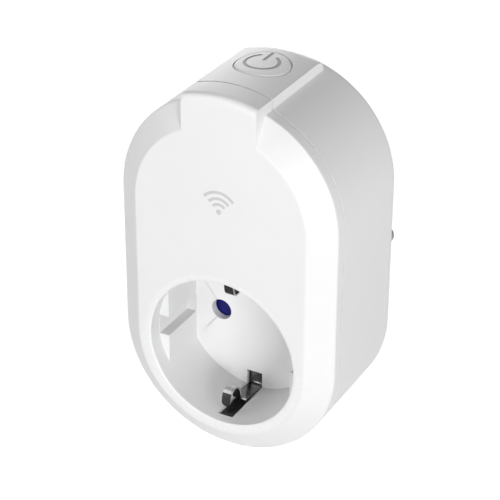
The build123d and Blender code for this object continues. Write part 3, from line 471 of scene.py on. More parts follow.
def strip_band(bm, points, rounds, half_width, spacing, segments=4, stretch=None):
    """Draws the strip's (radius, depth) profile across the top, and bends it round the upper centre.

    stretch holds a depth and how many times longer the profile gets behind it.
    """
    before = set(bm.verts)
    edges = wire(bm, [(-half_width, FRONT + d, spacing + r) for r, d in points], rounds, segments)
    pull(bm, edges, (2 * half_width, 0, 0), STRIP_STEPS)
    for v in bm.verts:
        if v not in before:
            v.co.z = height_at(v.co.z - spacing, v.co.x, spacing)
            if stretch:
                v.co.y += max(0.0, v.co.y - FRONT - stretch[0]) * (stretch[1] - 1)
    merge_doubles(bm)


def join_points(bm, first, second):
    """Edge between the two points nearest to the given places."""
    ends = [
        min(bm.verts, key=lambda v: (v.co - Vector(place)).length_squared) for place in (first, second)
    ]
    return bm.edges.get(ends) or bm.edges.new(ends)


def height_at(radius, across, spacing):
    """Height of a round about the upper centre, at a distance from the middle plane."""
    return spacing + sqrt(radius * radius - across * across)


def on_side(point, side, half_width, spacing):
    return abs(point.x - side * half_width) < ON_PLANE and point.z > spacing


def strip_walls(bm, half_width, spacing):
    """Closes the strip's two side walls from the open edges that lie in their planes."""
    for side in (-1, 1):
        ring = open_edges(bm, lambda place: on_side(place, side, half_width, spacing))
        # a face margin that runs on past the wall isn't part of it
        while tips := {v for e in ring for v in e.verts if sum(n in ring for n in v.link_edges) == 1}:
            ring = [e for e in ring if not tips & set(e.verts)]
        cap(bm, ring)
    merge_doubles(bm)


def close_strip(bm, half_width, spacing, spans, end=None):
    """Closes the strip's walls and its far end.

    spans holds, for each plane where the walls start or stop, its depth, the two radii to join and
    how far the lower one is moved up.
    """
    for side in (-1, 1):
        x = side * half_width
        for depth, low, high, lift in spans:
            places = [
                (x, FRONT + depth, height_at(radius, x, spacing) + up)
                for radius, up in ((low, lift), (high, 0))
            ]
            # the points along it let a softened corner start a little way up the wall
            bmesh.ops.subdivide_edges(bm, edges=[join_points(bm, *places)], cuts=5)
    strip_walls(bm, half_width, spacing)
    if end is not None:
        far_end = at_depth(end)
        reach = half_width + ON_PLANE
        cap(bm, open_edges(bm, lambda place: far_end(place) and abs(place.x) < reach))


def strip_corner_edges(bm, half_width, spacing, seam, start=0.0):
    """Outer edges of the strip's walls, which are softened, from a height on the face upwards."""
    at_seam = at_depth(seam)
    found = []
    for edge in bm.edges:
        a, b = (v.co for v in edge.verts)
        if len(edge.link_faces) != 2 or (at_seam(a) and at_seam(b)) or min(a.z, b.z) < start:
            continue
        for side in (-1, 1):
            if on_side(a, side, half_width, spacing) and on_side(b, side, half_width, spacing):
                wall = [f for f in edge.link_faces if abs(f.normal.x) > 0.99]
                other = [f for f in edge.link_faces if abs(f.normal.x) <= 0.99]
                if wall and other and abs(middle(other[0]).x) < half_width:
                    found.append(edge)
    return found


def cover_skin(bm, s, k, inner):
    """Outer or inner skin of the front cover, and the radius of the hole in its face."""
    wall = s.wall if inner else 0.0
    back = SEAM - s.seam_gap
    margin = 0.6 * MM  # flat rim outside the face, so that its rounding has two sides
    slope = atan2(s.bevel_depth, BODY_RADIUS - s.face_radius)
    face = s.face_radius - wall * sin(slope / 2) / cos(slope / 2)
    body = BODY_RADIUS - wall
    strip = s.strip_radius - wall
    half = s.strip_half_width - wall
    if inner:
        bevel = s.bevel_depth + wall * (1 - sin(slope)) / cos(slope)
        bevel = min(bevel, back - 0.5 * MM)
        outline_band(bm, [(face, wall), (body, bevel), (body, back)], {}, s.spacing)
        open_for_strip(bm, half, s.spacing)
        strip_band(bm, [(strip, wall), (strip, back)], {}, half, s.spacing)
        chamfer, rim, hole = 0.0, face, k.well_radius + 0.3 * MM
        front_low, front_high = face, strip
    else:
        chamfer, rim, hole = s.seam_chamfer, face - margin, k.mouth_radius + k.band + 0.4 * MM
        front_low, front_high = face - s.face_rounding, strip - s.strip_rounding - margin
        outline_band(
            bm,
            [(rim, 0), (face, 0), (body, s.bevel_depth), (body, back - chamfer), (body - chamfer, back)],
            {1: s.face_rounding, 2: s.side_rounding},
            s.spacing,
        )
        open_for_strip(bm, half, s.spacing)
        strip_band(
            bm,
            [(front_high, 0), (strip, 0), (strip, back - chamfer), (strip - chamfer, back)],
            {1: s.strip_rounding},
            half,
            s.spacing,
        )
    spans = ((wall, front_low, front_high, 0), (back, body - chamfer, strip - chamfer, 0))
    close_strip(bm, half, s.spacing, spans)
    # the flat face: an upper and a lower part, either side of the mouth's level
    circle(bm, (0, FRONT + wall, 0), hole, 2 * STEPS)
    for side in (-1, 1):
        join_points(bm, (side * hole, FRONT + wall, 0), (side * rim, FRONT + wall, 0))
    flat = open_edges(bm, at_depth(wall))
    cap(bm, [e for e in flat if all(v.co.z > -ON_PLANE for v in e.verts)])
    cap(bm, [e for e in flat if all(v.co.z < ON_PLANE for v in e.verts)])
    return hole


class SMARTPLUG_OT_front_cover(bpy.types.Operator):
    """Front cover: bevelled face, front part of the raised strip and the socket's round mouth"""

    bl_idname = "smart_plug.front_cover"
    bl_label = "Front Cover"

    # the mouth's edge stands a little off the recess's axis
    mouth_shift = Vector((0.25, 0, -0.3)) * MM
    sharp_foot = 0.6 * MM  # the strip's corners stay sharp this far up from the face's edge

    def execute(self, context):
        s, k = context.scene.plug_shell, context.scene.plug_socket
        bm = bmesh.new()
        hole = cover_skin(bm, s, k, inner=False)
        start = height_at(s.face_radius, s.strip_half_width, s.spacing) + self.sharp_foot
        back = SEAM - s.seam_gap
        soften(bm, strip_corner_edges(bm, s.strip_half_width, s.spacing, back, start), s.strip_edge)
        inside = bmesh.new()
        collar = cover_skin(inside, s, k, inner=True)
        absorb(bm, inside)
        fill_flat(bm, open_edges(bm, at_depth(back)))
        # mouth: shallow band, rounded rim, drafted wall, and the ledge back to the inner skin
        lathe(
            bm,
            [
                (hole, FRONT), (k.mouth_radius + k.band, FRONT), (k.mouth_radius, FRONT + k.band_depth),
                (k.radius, FRONT + k.ledge), (collar, FRONT + k.ledge), (collar, FRONT + s.wall),
            ],
            {2: k.rim},
            segments=5,
        )
        for v in bm.verts:
            depth = v.co.y - FRONT
            if v.co.xz.length < hole - ON_PLANE and depth < k.ledge:
                v.co += self.mouth_shift * (1 - max(depth, 0) / k.ledge)
        bm = cut_slots(bm, k, k.slot_front, k.ledge + 1 * MM)
        bm.normal_update()
        for face in bm.faces:
            at, depth = middle(face), middle(face).y - FRONT
            if at.xz.length > hole + ON_PLANE or depth > k.ledge + ON_PLANE:
                continue
            # painted shade: the mouth's side walls take the darker copy of the white
            if abs(face.normal.y) < 0.4:
                face.material_index = 1
            # painted light: the band round the mouth takes a lighter copy of the shell white
            elif depth < 0.5 * MM and at.xz.length < hole - 0.1 * MM:
                face.material_index = 2
        finishes = ["satin_white_shell", "matt_cup_wall", "polished_rim"]
        make_piece("cover_shell", bm, finishes, "body", ["front_cover"])
        return {"FINISHED"}


def slot_blocks(half, inner, outer, front, back):
    """A pair of cutting blocks for the two clip slots, above and below the axis."""
    bm = bmesh.new()
    for side in (-1, 1):
        low, high = sorted((side * inner, side * outer))
        block(bm, (-half, FRONT + front, low), (half, FRONT + back, high))
    return bm


def cut_slots(bm, k, front, back):
    """Cuts the two clip slots and thins the wall round them."""
    for half, inner in ((k.slot_half, k.window), (k.rebate_half, k.slot_wall)):
        bm = carve(bm, slot_blocks(half, inner, k.slot_outer, front, back))
    return bm


def drafted(s, depth, front):
    """How far the body's side is drawn in at a depth."""
    return s.rear_draft * min(1.0, max(0.0, (depth - front) / (s.body_depth - front)))


class SMARTPLUG_OT_rear_housing(bpy.types.Operator):
    """Rear housing: drafted body, rest of the strip, plug boss and the deep screw tubes"""

    bl_idname = "smart_plug.rear_housing"
    bl_label = "Rear Housing"

    edge_margin = 0.6 * MM  # flat rim inside the rear edge
    strip_end_wall = 1.8 * MM
    boss_radius = 18.5 * MM
    boss_rounding = 0.8 * MM
    hollow_radius = 15.6 * MM
    carrier_seat = 39.5 * MM  # depth of the step that the pin carrier sits on
    carrier_radius = 14.6 * MM
    boss_floor = 3.5 * MM
    tube_bore, tube_bore_end = 2.45 * MM, 16 * MM
    tube_radius, tube_end = 3.4 * MM, 13 * MM
    key_depth, key_flat, key_ridge = 41.3 * MM, 16.2 * MM, 2.1 * MM
    contact_depth, contact_floor, contact_half = 40 * MM, 17.3 * MM, 4.05 * MM
    pin_bore = 2.65 * MM
    earth_bore, earth_height = 2.6 * MM, 10 * MM
    past_boss, past_end = 20 * MM, 1 * MM  # the cuts reach past the boss's side and end

    def execute(self, context):
        s, k, b = context.scene.plug_shell, context.scene.plug_socket, context.scene.plug_button
        bm = bmesh.new()
        front = SEAM + s.seam_gap
        self.outer_skin(bm, s, front)
        inside = bmesh.new()
        self.inner_skin(inside, s, front)
        absorb(bm, inside)
        fill_flat(bm, open_edges(bm, at_depth(front)))
        floor = s.body_depth - s.wall
        bottom = PLUG_END - self.boss_floor
        # plug boss and its hollow; both leave a ring in the rear walls
        lathe(
            bm,
            [
                (self.boss_radius, FRONT + s.body_depth), (self.boss_radius, FRONT + PLUG_END),
                (0, FRONT + PLUG_END),
            ],
            {1: self.boss_rounding},
        )
        lathe(
            bm,
            [
                (self.hollow_radius, FRONT + floor), (self.hollow_radius, FRONT + self.carrier_seat),
                (self.carrier_radius, FRONT + self.carrier_seat), (self.carrier_radius, FRONT + bottom),
                (0, FRONT + bottom),
            ],
        )
        merge_doubles(bm)
        for x, z in screw_places():
            for depth, radius, end in (
                (s.body_depth, self.tube_bore, self.tube_bore_end), (floor, self.tube_radius, self.tube_end),
            ):
                ring = circle(bm, (x, FRONT + depth, z), radius, 48)
                cap(bm, pull(bm, ring, (0, end - depth, 0)))
        for depth in (s.body_depth, floor):
            fill_flat(bm, open_edges(bm, at_depth(depth)))
        bm = carve(bm, self.openings(s, k, b, bottom))
        make_piece("housing_shell", bm, ["satin_white_shell"], "body", ["rear_housing"])
        return {"FINISHED"}

    def outer_skin(self, bm, s, front):
        rear = BODY_RADIUS - s.rear_draft
        side_start = front + s.seam_chamfer
        outline_band(
            bm,
            [
                (BODY_RADIUS - s.seam_chamfer, front), (BODY_RADIUS, side_start),
                (rear, s.body_depth), (rear - s.rear_rounding - self.edge_margin, s.body_depth),
            ],
            {2: s.rear_rounding},
            s.spacing,
        )
        # the draft is on the sides only: top and bottom run straight back
        for v in bm.verts:
            lift = drafted(s, v.co.y - FRONT, side_start)
            v.co.z += lift if v.co.z > s.spacing - ON_PLANE else -lift
        open_for_strip(bm, s.strip_half_width, s.spacing, s.strip_end)
        foot = s.strip_radius - s.strip_roll - 0.03 * MM
        roll_start = s.strip_end - s.strip_run
        round_end = roll_start + s.strip_roll
        strip_band(
            bm,
            [
                (s.strip_radius - s.seam_chamfer, front), (s.strip_radius, side_start),
                (s.strip_radius, round_end), (foot, round_end),
            ],
            {2: s.strip_roll},
            s.strip_half_width,
            s.spacing,
            10,
            (roll_start, s.strip_run / s.strip_roll),
        )
        lift = drafted(s, s.strip_end, side_start)
        spans = (
            (front, BODY_RADIUS - s.seam_chamfer, s.strip_radius - s.seam_chamfer, 0),
            (s.strip_end, BODY_RADIUS - lift, foot, lift),
        )
        close_strip(bm, s.strip_half_width, s.spacing, spans, s.strip_end)
        soften(bm, strip_corner_edges(bm, s.strip_half_width, s.spacing, front), s.strip_edge)

    def inner_skin(self, bm, s, front):
        body, roof = BODY_RADIUS - s.wall, s.strip_radius - s.wall
        half = s.strip_half_width - s.wall
        floor = s.body_depth - s.wall
        end = s.strip_end - self.strip_end_wall
        outline_band(bm, [(body, front), (body - s.rear_draft, floor)], {}, s.spacing)
        open_for_strip(bm, half, s.spacing, end)
        strip_band(bm, [(roof, front), (roof, end)], {}, half, s.spacing)
        body_at_end = body - s.rear_draft * (end - front) / (floor - front)
        spans = ((front, body, roof, 0), (end, body_at_end, roof, 0))
        close_strip(bm, half, s.spacing, spans, end)

    def openings(self, s, k, b, bottom):
        """Cutting solids: button, key flats with their ridge, side contacts, pins and earth pin."""
        cuts = bmesh.new()
        top = s.spacing + s.strip_radius
        y = FRONT + b.depth
        rod(cuts, (0, y, top - 5 * MM), (0, y, top + 2 * MM), b.opening, 96)
        past = self.past_boss
        low_y, high_y = FRONT + bottom - self.past_end, FRONT + PLUG_END + self.past_end
        for side in (-1, 1):
            for end in (-1, 1):
                xs = sorted((side * self.key_flat, side * past))
                zs = sorted((end * self.key_ridge, end * past))
                block(cuts, (xs[0], FRONT + self.key_depth, zs[0]), (xs[1], high_y, zs[1]))
            zs = sorted((side * self.contact_floor, side * past))
            half, start = self.contact_half, FRONT + self.contact_depth
            block(cuts, (-half, start, zs[0]), (half, high_y, zs[1]))
            x = side * k.pin_pitch_half
            rod(cuts, (x, low_y, 0), (x, high_y, 0), self.pin_bore)
        rod(cuts, (0, low_y, self.earth_height), (0, high_y, self.earth_height), self.earth_bore)
        return cuts


def screw_places():
    """Axes of the four housing screws, read from the frame."""
    points = [v.co for v in frame["nodes"]["housing_screws"].data.vertices]
    places = []
    for side in (-1, 1):
        for upper in (False, True):
            own = [p for p in points if p.x * side > 0 and (p.z > 35 * MM) == upper]
            xs, zs = [p.x for p in own], [p.z for p in own]
            places.append(((min(xs) + max(xs)) / 2, (min(zs) + max(zs)) / 2))
    return places


# ---------------------------------------------------------------- socket cup


def keyed_ring(bm, k, depth):
    """Keyed outline of the cup: round with two flats, each with a groove."""
    flat_turn = asin(sqrt(k.radius ** 2 - k.flat ** 2) / k.radius)
    y = FRONT + depth
    for side in (-1, 1):
        for end in (-1, 1):
            # a quarter: round, flat, groove
            start = new_point(bm, (0, y, end * k.radius))
            sweep = (pi / 2 - flat_turn) * side * end
            last = arc_to(bm, start, (0, y, 0), SOCKET_AXIS, sweep, 42)
            for x, z in ((k.flat, k.groove_half), (k.groove, k.groove_half), (k.groove, 0)):
                last = line_to(bm, last, (side * x, y, end * z))
    merge_doubles(bm)
    return bm.edges[:]


class SMARTPLUG_OT_socket_cup(bpy.types.Operator):
    """Socket cup: keyed recess with ledges, floor, pin holes, clip slots and the shutter's rails"""

    bl_idname = "smart_plug.socket_cup"
    bl_label = "Socket Cup"

    pocket_half = 3.5 * MM  # room behind the floor for the clip's root
    pocket_height = 13.5 * MM
    running_gap = 0.3 * MM
    rail_thickness = 1.5 * MM
    rail_reach = 10 * MM
    rail_root = 0.2 * MM  # the rails start inside the floor
    spring_seat = (2.5 * MM, -14.3 * MM, -13.3 * MM)  # half width, underside and top
    stop_half = 5 * MM

    def execute(self, context):
        k = context.scene.plug_socket
        bm = bmesh.new()
        ring = keyed_ring(bm, k, k.ledge)
        floor = pull(bm, ring, (0, k.depth - k.ledge, 0))
        holes = []
        for side in (-1, 1):
            holes += circle(bm, (side * k.pin_pitch_half, FRONT + k.depth, 0), k.pin_hole, 64)
        fill_flat(bm, floor + holes)
        for side in (-1, 1):
            split_at(bm, [f for f in bm.faces if abs(f.normal.y) > 0.9], (side * k.flat, 0, 0), (1, 0, 0))
        through = pull(bm, holes, (0, k.floor, 0))
        back = circle(bm, (0, FRONT + k.depth + k.floor, 0), k.well_radius, 2 * STEPS)
        fill_flat(bm, through + back)
        pull(bm, back, (0, k.ledge - k.depth - k.floor, 0))
        fill_flat(bm, open_edges(bm, at_depth(k.ledge)))
        merge_doubles(bm)
        bmesh.ops.recalc_face_normals(bm, faces=bm.faces[:])
        soften(bm, self.soft_edges(bm, k), k.edge, 2)
        behind = k.depth + k.floor + 1 * MM
        bm = cut_slots(bm, k, k.ledge - 1 * MM, behind)
        pocket = slot_blocks(self.pocket_half, self.pocket_height, k.slot_outer, k.depth + 1 * MM, behind)
        bm = carve(bm, pocket)
        make_piece("cup_rails", self.rails(k), ["satin_white_cup"], "body")
        bm.normal_update()
        # painted shade: side walls and the grooves take the darker copy of the cup white
        for face in bm.faces:
            at = middle(face)
            in_groove = at.y - FRONT > k.ledge + 1 * MM and abs(at.x) > k.flat
            face.material_index = abs(face.normal.y) < 0.5 or in_groove
        make_piece("cup", bm, ["satin_white_cup", "matt_cup_wall"], "body", ["socket_well"])
        return {"FINISHED"}

    def soft_edges(self, bm, k):
        """Ledge corners, key corners and the lips of the pin holes."""
        at_ledge, at_floor = at_depth(k.ledge), at_depth(k.depth)
        found = []
        for edge in bm.edges:
            a, b = (v.co for v in edge.verts)
            inside = max(a.xz.length, b.xz.length) < k.well_radius - 0.1 * MM
            if edge.calc_face_angle(0.0) < SMOOTH_BELOW or not inside:
                continue
            keyed = abs(a.x) > 10 * MM and abs(a.z) < 11 * MM
            on_ledge = at_ledge(a) and at_ledge(b) and keyed
            along = abs(a.y - b.y) > 5 * MM and keyed and edge.is_convex
            if on_ledge or along or (at_floor(a) and at_floor(b) and edge.is_convex):
                found.append(edge)
        return found

    def rails(self, k):
        """The shutter's two rails, the spring's seat and the top stop, behind the floor."""
        bm = bmesh.new()
        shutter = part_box("shutter")[1]
        start, end = FRONT + k.depth + k.floor - self.rail_root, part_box("shutter_retainer")[0].y
        near = shutter.x + self.running_gap
        for side in (-1, 1):
            xs = sorted((side * near, side * (near + self.rail_thickness)))
            block(bm, (xs[0], start, -self.rail_reach), (xs[1], end, self.rail_reach))
        half, low, high = self.spring_seat
        block(bm, (-half, start, low), (half, end, high))
        stop = shutter.z + self.running_gap
        block(bm, (-self.stop_half, start, stop), (self.stop_half, end, stop + self.rail_thickness))
        return bm


# ---------------------------------------------------------------- button and signs


def lift_onto_strip(bm, s):
    """Moves a flat sheet at height 0 onto the strip's round top, keeping its offsets."""
    for v in bm.verts:
        v.co.z += s.spacing + sqrt(s.strip_radius ** 2 - v.co.x ** 2)


def slice_across(bm, reach, step):
    """Cuts a flat sheet into narrow strips, so that it can bend."""
    count = int(reach / step)
    for i in range(-count, count + 1):
        bmesh.ops.bisect_plane(
            bm, geom=bm.verts[:] + bm.edges[:] + bm.faces[:], dist=1e-8,
            plane_co=(i * step, 0, 0), plane_no=(1, 0, 0),
        )


def sign_rings(bm, b):
    """Outlines of the power sign: a round with a gap towards the wall, and a bar in the gap."""
    centre = Vector((-b.sign_across, FRONT + b.sign_depth, 0))
    half = b.sign_width / 2
    sweep = 2 * pi - 2 * b.sign_gap
    first, last = (
        centre + Matrix.Rotation(angle, 3, "Z") @ Vector((0, b.sign_radius, 0))
        for angle in (b.sign_gap, 2 * pi - b.sign_gap)
    )
    start = centre + Matrix.Rotation(b.sign_gap, 3, "Z") @ Vector((0, b.sign_radius + half, 0))
    point = new_point(bm, start)
    for about, angle, steps in ((centre, sweep, 48), (last, pi, 8), (centre, -sweep, 48), (first, pi, 8)):
        point = arc_to(bm, point, about, UP, angle, steps)
    near, far = (centre + Vector((0, reach, 0)) for reach in (b.bar_start + half, b.bar_end - half))
    aside = Vector((half, 0, 0))
    point = line_to(bm, new_point(bm, near + aside), far + aside)
    point = line_to(bm, arc_to(bm, point, far, UP, pi, 8), near - aside)
    arc_to(bm, point, near, UP, pi, 8)
    merge_doubles(bm)


class SMARTPLUG_OT_power_button(bpy.types.Operator):
    """Power button: cap bent to the strip with an engraved sign, flange and stem"""

    bl_idname = "smart_plug.power_button"
    bl_label = "Power Button"

    flange_height = 4.1 * MM  # from the stem's foot to the flange's top
    rounding_steps = 4

    def execute(self, context):
        s, b = context.scene.plug_shell, context.scene.plug_button
        centre = Vector((0, FRONT + b.depth, 0))
        flat_radius = b.cap - b.rounding
        bm = bmesh.new()
        sign_rings(bm, b)
        sign = bm.edges[:]
        fill_flat(bm, sign + circle(bm, centre, flat_radius, 96, UP))
        # floor of the engraving: the same rings, sunk
        top = set(bm.faces)
        rims = [e for e in bm.edges if e.is_boundary]
        edge = [e for e in rims if (e.verts[0].co - centre).length > flat_radius - 0.05 * MM]
        fill_flat(bm, pull(bm, [e for e in rims if e not in edge], (0, 0, -b.sign_cut)))
        # painted shade: the engraving's floor and walls take a darker grey
        for face in bm.faces:
            face.material_index = face not in top
        # rounded edge and side of the cap
        for i in range(1, self.rounding_steps + 1):
            angle = pi / 2 * i / self.rounding_steps
            drop = b.rounding * (1 - cos(angle))
            edge = self.ring_to(bm, edge, centre, flat_radius + b.rounding * sin(angle), -drop)
        for radius in (b.cap, b.lip):
            edge = self.ring_to(bm, edge, centre, radius, -b.proud - b.gap_depth)
        slice_across(bm, b.lip, 0.5 * MM)
        bmesh.ops.translate(bm, verts=bm.verts[:], vec=(0, 0, b.proud))
        lift_onto_strip(bm, s)
        # flange and stem
        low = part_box("power_button")[0].z
        flange_top = low + self.flange_height
        flange_bottom = flange_top - b.flange_thickness
        edge = [e for e in bm.edges if e.is_boundary]
        for radius, height in (
            (None, flange_top), (b.flange, flange_top), (b.flange, flange_bottom), (b.stem, flange_bottom),
            (b.stem, low),
        ):
            edge = self.ring_to(bm, edge, centre, radius, height)
        fill_flat(bm, edge)
        finishes = ["satin_white_shell", "engraved_grey"]
        make_piece("button_cap", bm, finishes, "button", ["power_button"])
        return {"FINISHED"}

    def ring_to(self, bm, ring, centre, radius, height):
        """Draws a ring on to a radius and a height. Without a radius it goes straight."""
        ring = pull(bm, ring, (0, 0, 0.01 * MM))
        for v in {v for e in ring for v in e.verts}:
            if radius is not None:
                out = (v.co - centre).xy.normalized() * radius
                v.co.xy = (centre.x + out.x, centre.y + out.y)
            v.co.z = height
        return ring


class SMARTPLUG_OT_wireless_sign(bpy.types.Operator):
    """Printed wireless sign on the face: a dot under three arcs"""

    bl_idname = "smart_plug.wireless_sign"
    bl_label = "Wireless Sign"

    centre_height = 38.3 * MM
    dot = 0.67 * MM
    arcs = (1.96 * MM, 3.4 * MM, 5.0 * MM)
    width = 0.72 * MM
    spread = radians(50)
    film = 0.02 * MM

    def execute(self, context):
        bm = bmesh.new()
        centre = Vector((0, FRONT - self.film, self.centre_height))
        cap(bm, circle(bm, centre, self.dot, 32))
        first = Matrix.Rotation(-self.spread, 3, "Y") @ Vector(UP)
        for radius in self.arcs:
            ends = [centre + first * (radius + side * self.width / 2) for side in (-1, 1)]
            turn(bm, wire(bm, ends), centre, SOCKET_AXIS, 2 * self.spread, 32)
        merge_doubles(bm)
        rims = [e for e in bm.edges if e.is_boundary]
        for ring in split_rings(pull(bm, rims, (0, 2 * self.film, 0))):
            cap(bm, ring)
        make_piece("wireless_sign", bm, ["printed_grey"], "body", crisp=False)
        return {"FINISHED"}


def split_rings(edges):
    """Groups edges into their separate rings."""
    left, rings = set(edges), []
    while left:
        ring, front = [], [left.pop()]
        while front:
            edge = front.pop()
            ring.append(edge)
            near = {e for v in edge.verts for e in v.link_edges if e in left}
            left -= near
            front += near
        rings.append(ring)
    return rings


# ---------------------------------------------------------------- metal pieces


class SMARTPLUG_OT_earth_clips(bpy.types.Operator):
    """The two sprung earth clips: foot on the floor, ramp, arch and rounded leg"""

    bl_idname = "smart_plug.earth_clips"
    bl_label = "Earth Clips"

    half_width = 1.9 * MM
    thickness = 0.5 * MM
    foot_depth = 1.3 * MM  # behind the socket floor
    # (depth, height) in millimetres of the corners nearer the face, up to the leg's tip
    arch = ((9.9, 18.5), (8.2, 13.4), (4.3, 13.4), (3.5, 17.6))
    # rounding at each corner, by its number from the root
    runs = {1: 0.6 * MM, 2: 0.6 * MM, 3: 0.4 * MM, 4: 1.8 * MM, 5: 1.8 * MM}
    narrow_from = 9.95 * MM  # nearer the face than this the clip is as narrow as its leg
    leg_half = 1.25 * MM
    leg_shift = 0.4 * MM
    tip_run = 1.2 * MM
    worn_from = 9.8 * MM  # nearer the face than this it has the leg's finishes: painted shade and highlights

    def execute(self, context):
        foot = context.scene.plug_socket.depth + self.foot_depth
        path = [(42 * MM, 14.5 * MM), (foot, 14.5 * MM), (foot, 19.6 * MM)]
        path += [(depth * MM, height * MM) for depth, height in self.arch]
        at_tip = at_depth(path[-1][0])
        # plain nickel, then copies with painted shade, painted highlight and painted light
        finishes = ["nickel_plate", "worn_nickel", "sheared_edge", "polished_nickel"]
        for side, name in ((1, "upper_earth_clip"), (-1, "lower_earth_clip")):
            bm = bmesh.new()
            places = [(-self.half_width, FRONT + depth, side * height) for depth, height in path]
            pull(bm, wire(bm, places, self.runs, 6), (2 * self.half_width, 0, 0), 2)
            merge_doubles(bm)
            # the leg is narrower than the ramp, off to one side
            aside = side * self.leg_shift
            for v in bm.verts:
                if v.co.y - FRONT < self.narrow_from:
                    v.co.x = v.co.x * self.leg_half / self.half_width + aside
            tip = [v for v in bm.verts if at_tip(v.co) and abs(v.co.x - aside) > self.leg_half / 2]
            round_corners(bm, tip, self.tip_run, 6)
            bmesh.ops.recalc_face_normals(bm, faces=bm.faces[:])
            sheet = bm.faces[:] + bm.edges[:] + bm.verts[:]
            bmesh.ops.solidify(bm, geom=sheet, thickness=self.thickness)
            bmesh.ops.recalc_face_normals(bm, faces=bm.faces[:])
            soften(bm, [e for e in bm.edges if e.calc_face_angle(0.0) > radians(60)], 0.08 * MM, 2)
            # painted shade on front faces, painted highlights on side faces, painted light on the rest
            for face in bm.faces:
                if middle(face).y - FRONT < self.worn_from:
                    side_face = abs(face.normal.x) > 0.5
                    face.material_index = 2 if side_face else 1 if face.normal.y < -0.75 else 3
            make_piece(name + "_spring", bm, finishes, "body", [name], must_close=False)
        return {"FINISHED"}


class SMARTPLUG_OT_plug_pins(bpy.types.Operator):
    """The two plug pins: shank, collar and rounded tip"""

    bl_idname = "smart_plug.plug_pins"
    bl_label = "Plug Pins"

    root, collar, pin = 2.6 * MM, 3.6 * MM, 2.4 * MM  # radii
    collar_start, collar_end = -5.5 * MM, -3.5 * MM
    tip_run = 1.9 * MM

    def execute(self, context):
        for node in ("plug_pin_left", "plug_pin_right"):
            low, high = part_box(node)
            profile = [
                (0, low.y), (self.root, low.y), (self.root, self.collar_start),
                (self.collar, self.collar_start), (self.collar, self.collar_end),
                (self.root, self.collar_end), (self.root, 0), (self.pin, 0), (self.pin, high.y), (0, high.y),
            ]
            bm = bmesh.new()
            lathe(bm, profile, {8: self.tip_run}, (low.x + high.x) / 2, steps=64, segments=8)
            make_piece(node + "_turned", bm, ["nickel_plate"], "body", [node])
        return {"FINISHED"}


class SMARTPLUG_OT_screws(bpy.types.Operator):
    """Housing screws: domed heads with a cross recess, deep in their tubes"""

    bl_idname = "smart_plug.screws"
    bl_label = "Housing Screws"

    shank, head, head_rounding = 1.2 * MM, 2.2 * MM, 1.2 * MM
    head_height = 1.8 * MM
    cross_reach, cross_half = 1.3 * MM, 0.28 * MM
    cross_depth = 0.9 * MM

    def execute(self, context):
        low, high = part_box("housing_screws")
        seat = high.y - self.head_height
        profile = [
            (0, low.y), (self.shank, low.y + self.shank), (self.shank, seat), (self.head, seat),
            (self.head, high.y), (0, high.y),
        ]
        bm = bmesh.new()
        for x, z in screw_places():
            lathe(bm, profile, {4: self.head_rounding}, x, z, 40)
        for across, up in ((self.cross_reach, self.cross_half), (self.cross_half, self.cross_reach)):
            cuts = bmesh.new()
            for x, z in screw_places():
                bottom = high.y - self.cross_depth
                block(cuts, (x - across, bottom, z - up), (x + across, high.y + 1 * MM, z + up))
            bm = carve(bm, cuts)
        make_piece("screws", bm, ["zinc_screws"], "body", ["housing_screws"])
        return {"FINISHED"}


# ---------------------------------------------------------------- finishes


